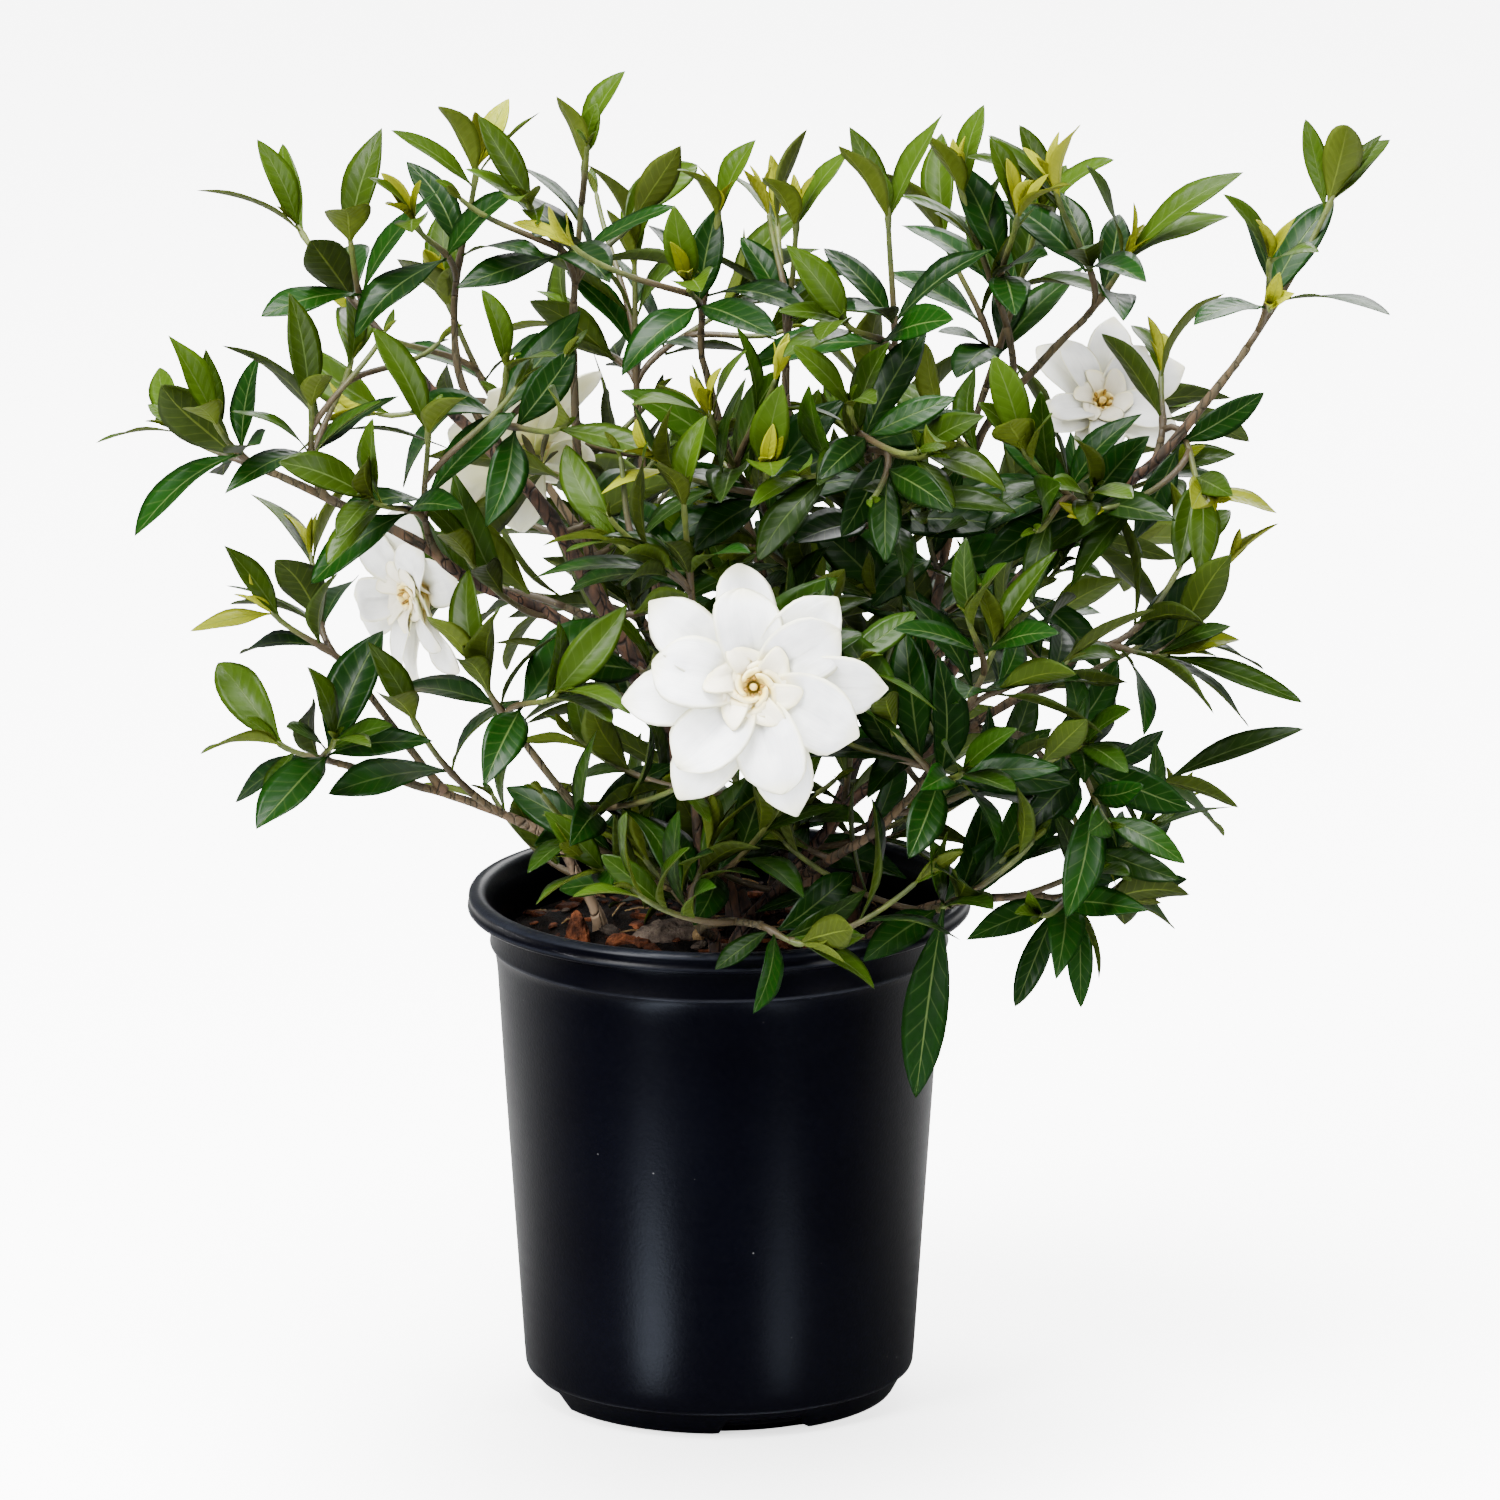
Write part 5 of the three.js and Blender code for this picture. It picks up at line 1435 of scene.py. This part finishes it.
def make_wood(name, shoots, material):
    """Limbs and bare feet of shoots, uneven all over, each sunk a little in what carries it."""
    piece = Piece()

    def rough(path, radii, seed, sides):
        def bump(i, angles):
            p = path[i] * 0.09
            low = noise.noise(Vector(p + seed * 7.1))
            around = [noise.noise(Vector((math.cos(a) * 1.2 + p[0], math.sin(a) * 1.2 + p[1],
                                          p[2] * 1.6 + seed))) for a in angles]
            return 1 + 0.14 * low + 0.16 * np.array(around)
        points, faces, places = tube(path, radii, sides, bump)
        thin = np.repeat(smooth(2.8, 1.8, radii), sides)
        pale = np.repeat(smooth(300, 240, path[:, 2]) * (name == PALE_WOOD), sides)
        piece.add(points, faces, 0, places, np.stack([0 * thin + 0.5, thin, pale], -1))

    for number, (route, radii) in enumerate(WOOD[name]):
        points = limb_points(route)
        last = len(points) - 1
        length = np.linalg.norm(np.diff(points, axis=0), axis=1).sum()
        places = np.linspace(0, last, int(length / 3.2))
        size = lerp(*radii, places / last)
        if len(route[0]) == 3:
            size = size + radii[0] * 0.35 * np.exp(-(places * length / last / 7) ** 2)
        else:
            size = size * (1 + 0.35 * np.exp(-((places - 0.75) / 0.35) ** 2) * (places > 0.4))
            size[places < 0.66] = np.minimum(size[places < 0.66], radii[0] + 0.2)
        rough(np.array([rounded(points, place) for place in places]), size, number + 1,
              14 if radii[0] > 3 else 10)
    for shoot in shoots:
        wood, limb, at = shoot["spec"][:3]
        if wood == name:
            route, radii = WOOD[name][limb]
            points = limb_points(route)
            axis = shoot["axes"][0]
            shares = np.linspace(0, axis["begin"], 9)
            path = np.array([axis["curve"].point(s) for s in shares])
            offset = rounded(points, min(at, LIMB_END) * (len(points) - 1)) - path[0]
            path = path + ((1 - shares / axis["begin"]) ** 2)[:, None] * offset
            size = lerp(lerp(*radii, at) * 0.95, TWIG_END_RADIUS, np.linspace(0, 1, 9) ** 0.6)
            rough(path, size, shoot["seed"] + 10, 10)
    piece.make(name + "_bark", [material], "bark", name)


# Pot

POT_PROFILE = [
    (0.0, 0.0), (60.0, 0.0), (75.2, 0.0), (75.8, 0.0), (79.8, 0.0), (81.4, 0.5), (82.3, 1.7),
    (86.0, 8.4), (86.9, 10.4), (87.7, 11.4), (89.2, 11.9), (90.4, 12.7), (90.95, 14.2),
    (91.6, 22.0), (95.6, 82.0), (100.2, 149.5), (102.6, 188.0), (103.5, 203.0), (104.1, 209.0),
    (104.9, 212.8), (106.1, 215.9), (106.9, 216.6), (107.15, 217.3), (106.9, 218.2),
    (106.9, 227.6), (107.1, 231.0), (107.8, 232.2), (109.2, 232.6), (114.9, 232.7),
    (116.7, 233.0), (117.4, 233.8), (117.45, 234.8), (117.0, 235.7), (116.6, 236.6),
    (116.7, 238.0), (117.0, 238.9), (116.9, 239.9), (116.1, 241.2), (114.6, 241.9),
    (111.8, 241.9), (110.0, 241.2), (108.6, 239.2), (107.2, 236.0), (105.3, 231.0),
    (104.4, 222.0), (88.6, 14.8), (87.2, 11.6), (82.2, 8.8), (80.9, 5.2), (79.6, 4.0), (0.0, 4.0),
]

FOOT_ROWS = {(75.8, 0.0), (79.8, 0.0), (81.4, 0.5), (82.3, 1.7)}


def make_pot(material):
    """The turned pot with its rolled lip, collar and foot, its drain notches and a slight sway."""
    angles = np.linspace(0, math.tau, POT_SIDES, endpoint=False)
    quarter = math.tau / NOTCH_COUNT
    away = np.abs((angles - math.radians(NOTCH_FIRST) + quarter / 2) % quarter
                  - quarter / 2) * BASE_ARC
    cut = smooth(NOTCH_HALF + NOTCH_SLOPE, NOTCH_HALF - NOTCH_SLOPE, away)
    rows = [(r, z) for r, z in POT_PROFILE if r > 0]
    points = []
    for r, z in rows:
        lift = (NOTCH_HEIGHT - z) * cut * ((r, z) in FOOT_ROWS)
        sway = 1 + 0.0012 * np.sin(2 * angles + 0.7) * (z / POT_HEIGHT)
        points.append(np.stack([np.cos(angles) * r * sway, np.sin(angles) * r * sway,
                                z + lift], -1))
    piece = Piece()
    foot = len(rows) * POT_SIDES
    piece.add(np.vstack(points + [[[0, 0, 0]], [[0, 0, POT_PROFILE[-1][1]]]]),
              ring_faces(len(rows), POT_SIDES, foot, foot + 1))
    piece.make("pot_shell", [material], "pot_plastic", "pot")


# Soil

def soil_relief(x, y):
    mound = SOIL_MOUND * (1 - math.hypot(x, y) / 110)
    return (mound + 1.3 * math.sin(x * 0.11 + 1) * math.cos(y * 0.13)
            + 0.8 * math.sin(x * 0.23 - y * 0.19))


def soil_height(x, y):
    rough = noise.fractal(Vector((x * 0.05, y * 0.05, 3.1)), 0.8, 2.1, 5)
    lumps = noise.noise(Vector((x * 0.16, y * 0.16, 9.0)))
    edge = smooth(104, 92, math.hypot(x, y))
    return SOIL_LEVEL + (soil_relief(x, y) + 2.6 * rough + 1.6 * lumps) * edge - 2 * (1 - edge)


def make_soil(material):
    """The mix: its underside and wall inside the pot, then rings of its mounded top."""
    sides, rings = 120, 46
    below = [(70.0, 4.4), (80.2, 4.5), (81.6, 9.2), (87.0, 15.0), (103.0, 214.0)]
    points = [(radius * math.cos(angle), radius * math.sin(angle), height)
              for radius, height in below for angle in ring_angles(sides)]
    for i in range(rings):
        radius = SOIL_RADIUS * (1 - i / rings)
        for angle in ring_angles(sides):
            x, y = radius * math.cos(angle), radius * math.sin(angle)
            points.append((x, y, soil_height(x, y)))
    points.append((0, 0, soil_height(0, 0)))
    piece = Piece()
    piece.add(points, ring_faces(rings + len(below), sides, end_point=len(points) - 1))
    piece.make("soil_mix", [material], "soil", "soil")


# Large lumps in the mix: place, half sizes, turn and kind
NUGGETS = [(-26, -14, 221, 17, 11, 8.5, 0.1, 1), (-66, -16, 222, 5, 8, 11, 0.3, 0),
           (-46, -20, 221, 8, 5, 4.5, 0.2, 0), (-78, -26, 219, 6, 5, 4, 0.9, 0),
           (30, -30, 221, 8, 6, 4.5, 0.6, 0), (-9, -22, 226, 3, 3, 4.2, 0.0, 2)]
CHIPS = 330
CHIP_RADIUS = 98
CHIP_SHARE = (0.62, 0.55)
STRAW = 2


def add_nugget(piece, centre, along, side, over, kind):
    """A lump of bark: a rounded block made uneven all over."""
    rows, sides = 12, 18
    rings = []
    for turn, angle in lump_turns(rows, sides):
        way = math.sin(turn) * outward_at(along, side, angle) - math.cos(turn) * over
        rough = noise.fractal(Vector((centre + way) * 0.13), 0.8, 2.0, 4)
        rings.append(centre + way * (1 + 0.3 * rough))
    piece.add(rings, ring_faces(rows - 1, sides), kind, None, (0.7, 0.5, 0.5))


def add_chip(piece, i):
    """One bark chip, crumb or straw that lies on the potting mix."""
    angle = draw(i, 1, 3) * 2 * math.pi
    radius = CHIP_RADIUS * math.sqrt(draw(i, 2, 3))
    x, y = radius * math.cos(angle), radius * math.sin(angle)
    base = np.array([x, y, soil_height(x, y)])
    turn = draw(i, 3, 3) * 6.28
    tilt = spread(draw(i, 4, 3), 0, 0.9)
    along = unit(np.array([math.cos(turn), math.sin(turn), tilt * 0.5]))
    upward = UP + 0.3 * np.array([math.sin(turn * 3), math.cos(turn * 2), 0])
    side = unit(np.cross(upward, along))
    over = np.cross(along, side)
    tone = (draw(i, 8, 3), 0.5, 0.5)
    bark, grey = (draw(i, 5 + j, 3) < CHIP_SHARE[j] for j in range(2))
    if not bark and not grey:
        reach = 6 + 16 * draw(i, 7, 3)
        path = [base + along * (k / 4 - 0.5) * reach + UP * (1.2 + 0.8 * math.sin(k))
                for k in range(5)]
        points, faces, places = tube(path, [0.35, 0.5, 0.5, 0.45, 0.3], 6)
        piece.add(points, faces, STRAW, places, tone)
        return
    size = 1.6 + 6.5 * draw(i, 7, 3) ** 2
    count = 7
    rings = []
    for level, grow in ((-0.5, 0.8), (0.0, 1.0), (0.5, 0.75)):
        for k, a in enumerate(ring_angles(count)):
            wobble = 0.75 + 0.5 * draw(i, k, 9)
            rings.append(base + UP * size * 0.2 + grow * wobble * size
                         * (along * math.cos(a) + side * math.sin(a) * 0.55)
                         + over * level * size * 0.36)
    piece.add(rings, ring_faces(3, count), 0 if bark else 1, None, tone)


def make_litter(materials):
    """Bark chips, straw and crumbs that lie on the potting mix, flat-sided but for the straw."""
    piece = Piece()
    for i in range(CHIPS):
        add_chip(piece, i)
    for x, y, z, reach, deep, tall, turn, kind in NUGGETS:
        along = np.array([math.cos(turn), math.sin(turn), 0.12])
        side = np.array([-math.sin(turn), math.cos(turn), 0.0])
        add_nugget(piece, np.array([x, y, z]), along * reach, side * deep, UP * tall, kind)
    made = piece.make("soil_litter", materials, "soil")
    for polygon in made.data.polygons:
        polygon.use_smooth = polygon.material_index == STRAW


# Stage, in metres

WALL_RADIUS = 0.092
CARD_GAP = 0.05
CARD_HEIGHT = 0.003
FLOOR_REACH = 40.0


def stand(name, data, place, way):
    """Puts a light or the camera in the scene, looking along a direction."""
    made = bpy.data.objects.new(name, data)
    made.location = place
    made.rotation_mode = "QUATERNION"
    made.rotation_quaternion = way.to_track_quat("-Z", "Y")
    bpy.context.collection.objects.link(made)
    return made


def soft_light(name, place, aim, size, power, tint=(1, 1, 1)):
    lamp = bpy.data.lights.new(name, "AREA")
    lamp.shape = "RECTANGLE"
    lamp.size, lamp.size_y = size
    lamp.energy = power
    lamp.color = tint
    made = stand(name, lamp, place, Vector(aim) - Vector(place))
    made.visible_camera = False
    return made


def low_card(name, angle, size, power):
    """A dim card on the floor, which lays a long soft streak on the pot's dark wall at an angle."""
    card = soft_light(name, (0, 0, 0), (0, 0, 1), size, power, (0.72, 0.82, 1.0))
    card.data.shape = "ELLIPSE"
    turn = math.radians(angle)
    wall = Vector((math.sin(turn), -math.cos(turn), 0)) * WALL_RADIUS
    way = Vector((math.sin(2 * turn), -math.cos(2 * turn), 0))
    card.location = wall + way * (CARD_GAP + size[1] / 2) + Vector((0, 0, CARD_HEIGHT))
    side = Vector((-way.y, way.x, 0))
    card.rotation_quaternion = Matrix((side, way, Vector((0, 0, -1)))).transposed().to_quaternion()


def make_camera():
    camera = bpy.data.cameras.new("camera")
    camera.sensor_width = SENSOR
    camera.lens = SENSOR * CAMERA_DISTANCE / PHOTO_MM
    tilt = math.radians(CAMERA_ELEVATION)
    back = Vector((0, -math.cos(tilt), math.sin(tilt)))
    place = (Vector(CAMERA_AIM) + back * CAMERA_DISTANCE) * MM
    bpy.context.scene.camera = stand("camera", camera, place, -back)


def make_floor():
    """A floor bright to the camera, with a painted shadow before the pot, but dark where the pot's
    gloss mirrors it.
    """
    mesh = bpy.data.meshes.new("floor")
    corners = [(x * FLOOR_REACH, y * FLOOR_REACH, 0)
               for x, y in ((-1, -1), (1, -1), (1, 1), (-1, 1))]
    mesh.from_pydata(corners, [], [(0, 1, 2, 3)])
    floor = bpy.data.objects.new("floor", mesh)
    bpy.context.collection.objects.link(floor)
    material, paint, skin = new_material("floor_paint")
    place = paint.place()
    seen = paint.mix(paint.cloud(place, 3.0, 2.0, 0.55), (0.9, 0.9, 0.9), (0.92, 0.92, 0.92))
    light = paint.add("LightPath").outputs
    near = paint.mix(paint.steps(paint.distance(place), 0.1, 0.42), (0.016, 0.017, 0.022),
                     (0.0022, 0.0026, 0.006))
    depth = paint.split(place)[1]
    dimmed = paint.mix(paint.steps(depth, -0.27, 0.3), near, (0.22, 0.22, 0.22))
    # The floor glows to the camera, weaker in a soft patch in front of the pot: a painted shadow,
    # in which the real contact shadow also shows.
    shift = paint.add("Mapping", Vector=place, Location=(0.0, 0.16, 0.0)).outputs[0]
    glow = paint.steps(paint.distance(shift), 0.02, 0.3, 0.7, 5.2)
    paint.fill(skin, Base_Color=paint.mix(light["Is Glossy Ray"], seen, dimmed), Roughness=0.9,
               Specular_IOR_Level=0.1, Emission_Color=(1.0, 1.0, 1.0),
               Emission_Strength=paint.times(light["Is Camera Ray"], glow))
    mesh.materials.append(material)


def make_world():
    """White surroundings, which the gloss mirrors much dimmer."""
    world = bpy.data.worlds.new("studio")
    bpy.context.scene.world = world
    world.use_nodes = True
    paint = Paint(world.node_tree)
    depth = paint.split(paint.add("TexCoord").outputs["Generated"])[1]
    dimmed = paint.mix(paint.steps(depth, -0.3, 0.7), (0.006, 0.007, 0.011), (0.25, 0.25, 0.255))
    mirrored = paint.add("LightPath").outputs["Is Glossy Ray"]
    paint.fill(world.node_tree.nodes["Background"].inputs,
               Color=paint.mix(mirrored, (1.0, 1.0, 1.0), dimmed), Strength=1.4)


make_camera()
make_floor()
make_world()
soft_light("left_box", (-1.2, -1.2, 1.35), (0, 0, 0.42), (0.6, 1.5), 95)
soft_light("right_box", (1.5, -1.1, 1.2), (0, 0, 0.4), (0.45, 1.5), 32)
soft_light("top_box", (-0.4, -0.3, 2.6), (0, 0, 0.3), (1.6, 1.4), 300)
low_card("left_card", -19.5, (0.07, 0.27), 0.52)
low_card("right_card", 18.5, (0.06, 0.27), 0.17)
soft_light("back_box", (0.6, 2.2, 1.6), (0, 0, 0.4), (1.2, 1.2), 50)

leaf_top = leaf_material(
    "leaf_top", ((0.0018, 0.0172, 0.0002), (0.0205, 0.0425, 0.001), (0.19, 0.2, 0.003)),
    (0.06, 0.092, 0.022), 0.27, 0.125, 0.36)
leaf_under = leaf_material(
    "leaf_under", ((0.021, 0.037, 0.002), (0.043, 0.06, 0.003), (0.19, 0.2, 0.005)),
    (0.09, 0.12, 0.012), 0.5, 0.12, -0.5)
green_stem = stem_material("green_stem", (0.07, 0.09, 0.009), (0.035, 0.05, 0.005),
                           (0.045, 0.024, 0.012), 0.55)
bark = bark_material()
# Each petal's second colour is its painted shade's.
petal_white = petal_material("petal_white", (0.9, 0.91, 0.91), (0.47, 0.48, 0.5),
                             (0.82, 0.64, 0.17), (0.85, 0.82, 0.52), 0.12)
petal_back = petal_material("petal_back", (0.92, 0.9, 0.72), (0.8, 0.79, 0.44),
                            (0.62, 0.64, 0.14), (0.8, 0.8, 0.42), 0.4)
style_cream = heart_material("style_cream", (0.6, 0.4, 0.07), (0.78, 0.6, 0.18), 0.5)
anther_gold = heart_material("anther_gold", (0.12, 0.055, 0.004), (0.5, 0.3, 0.03), 0.6)
soil_mix = earth_material("soil_mix", (0.0006, 0.0004, 0.0003), (0.0065, 0.003, 0.0015), 180.0)
chip_bark = earth_material("chip_bark", (0.014, 0.004, 0.0015), (0.1, 0.03, 0.011), 120.0, 0.85)
chip_grey = earth_material("chip_grey", (0.03, 0.022, 0.017), (0.09, 0.068, 0.052), 120.0, 0.9)
straw = earth_material("straw", (0.1, 0.06, 0.025), (0.22, 0.15, 0.07), 200.0, 0.8)

shoots = [{"name": "shoot_%02d" % (i + 1), "spec": spec, "seed": i + 1, "axes": shoot_axes(spec),
           "leaves": []} for i, spec in enumerate(SHOOTS)]
part_leaves(shoots)
added_twigs(shoots)
limb_twigs(shoots)
added_leaves(shoots)

make_pot(pot_material())
make_soil(soil_mix)
make_litter([chip_bark, chip_grey, straw])
for name in WOOD:
    make_wood(name, shoots, bark)
for shoot in shoots:
    make_shoot(shoot, [leaf_top, leaf_under, green_stem])
for number in BLOOMS:
    make_bloom(number, [petal_white, petal_back])
    make_heart(number, [style_cream, anther_gold])
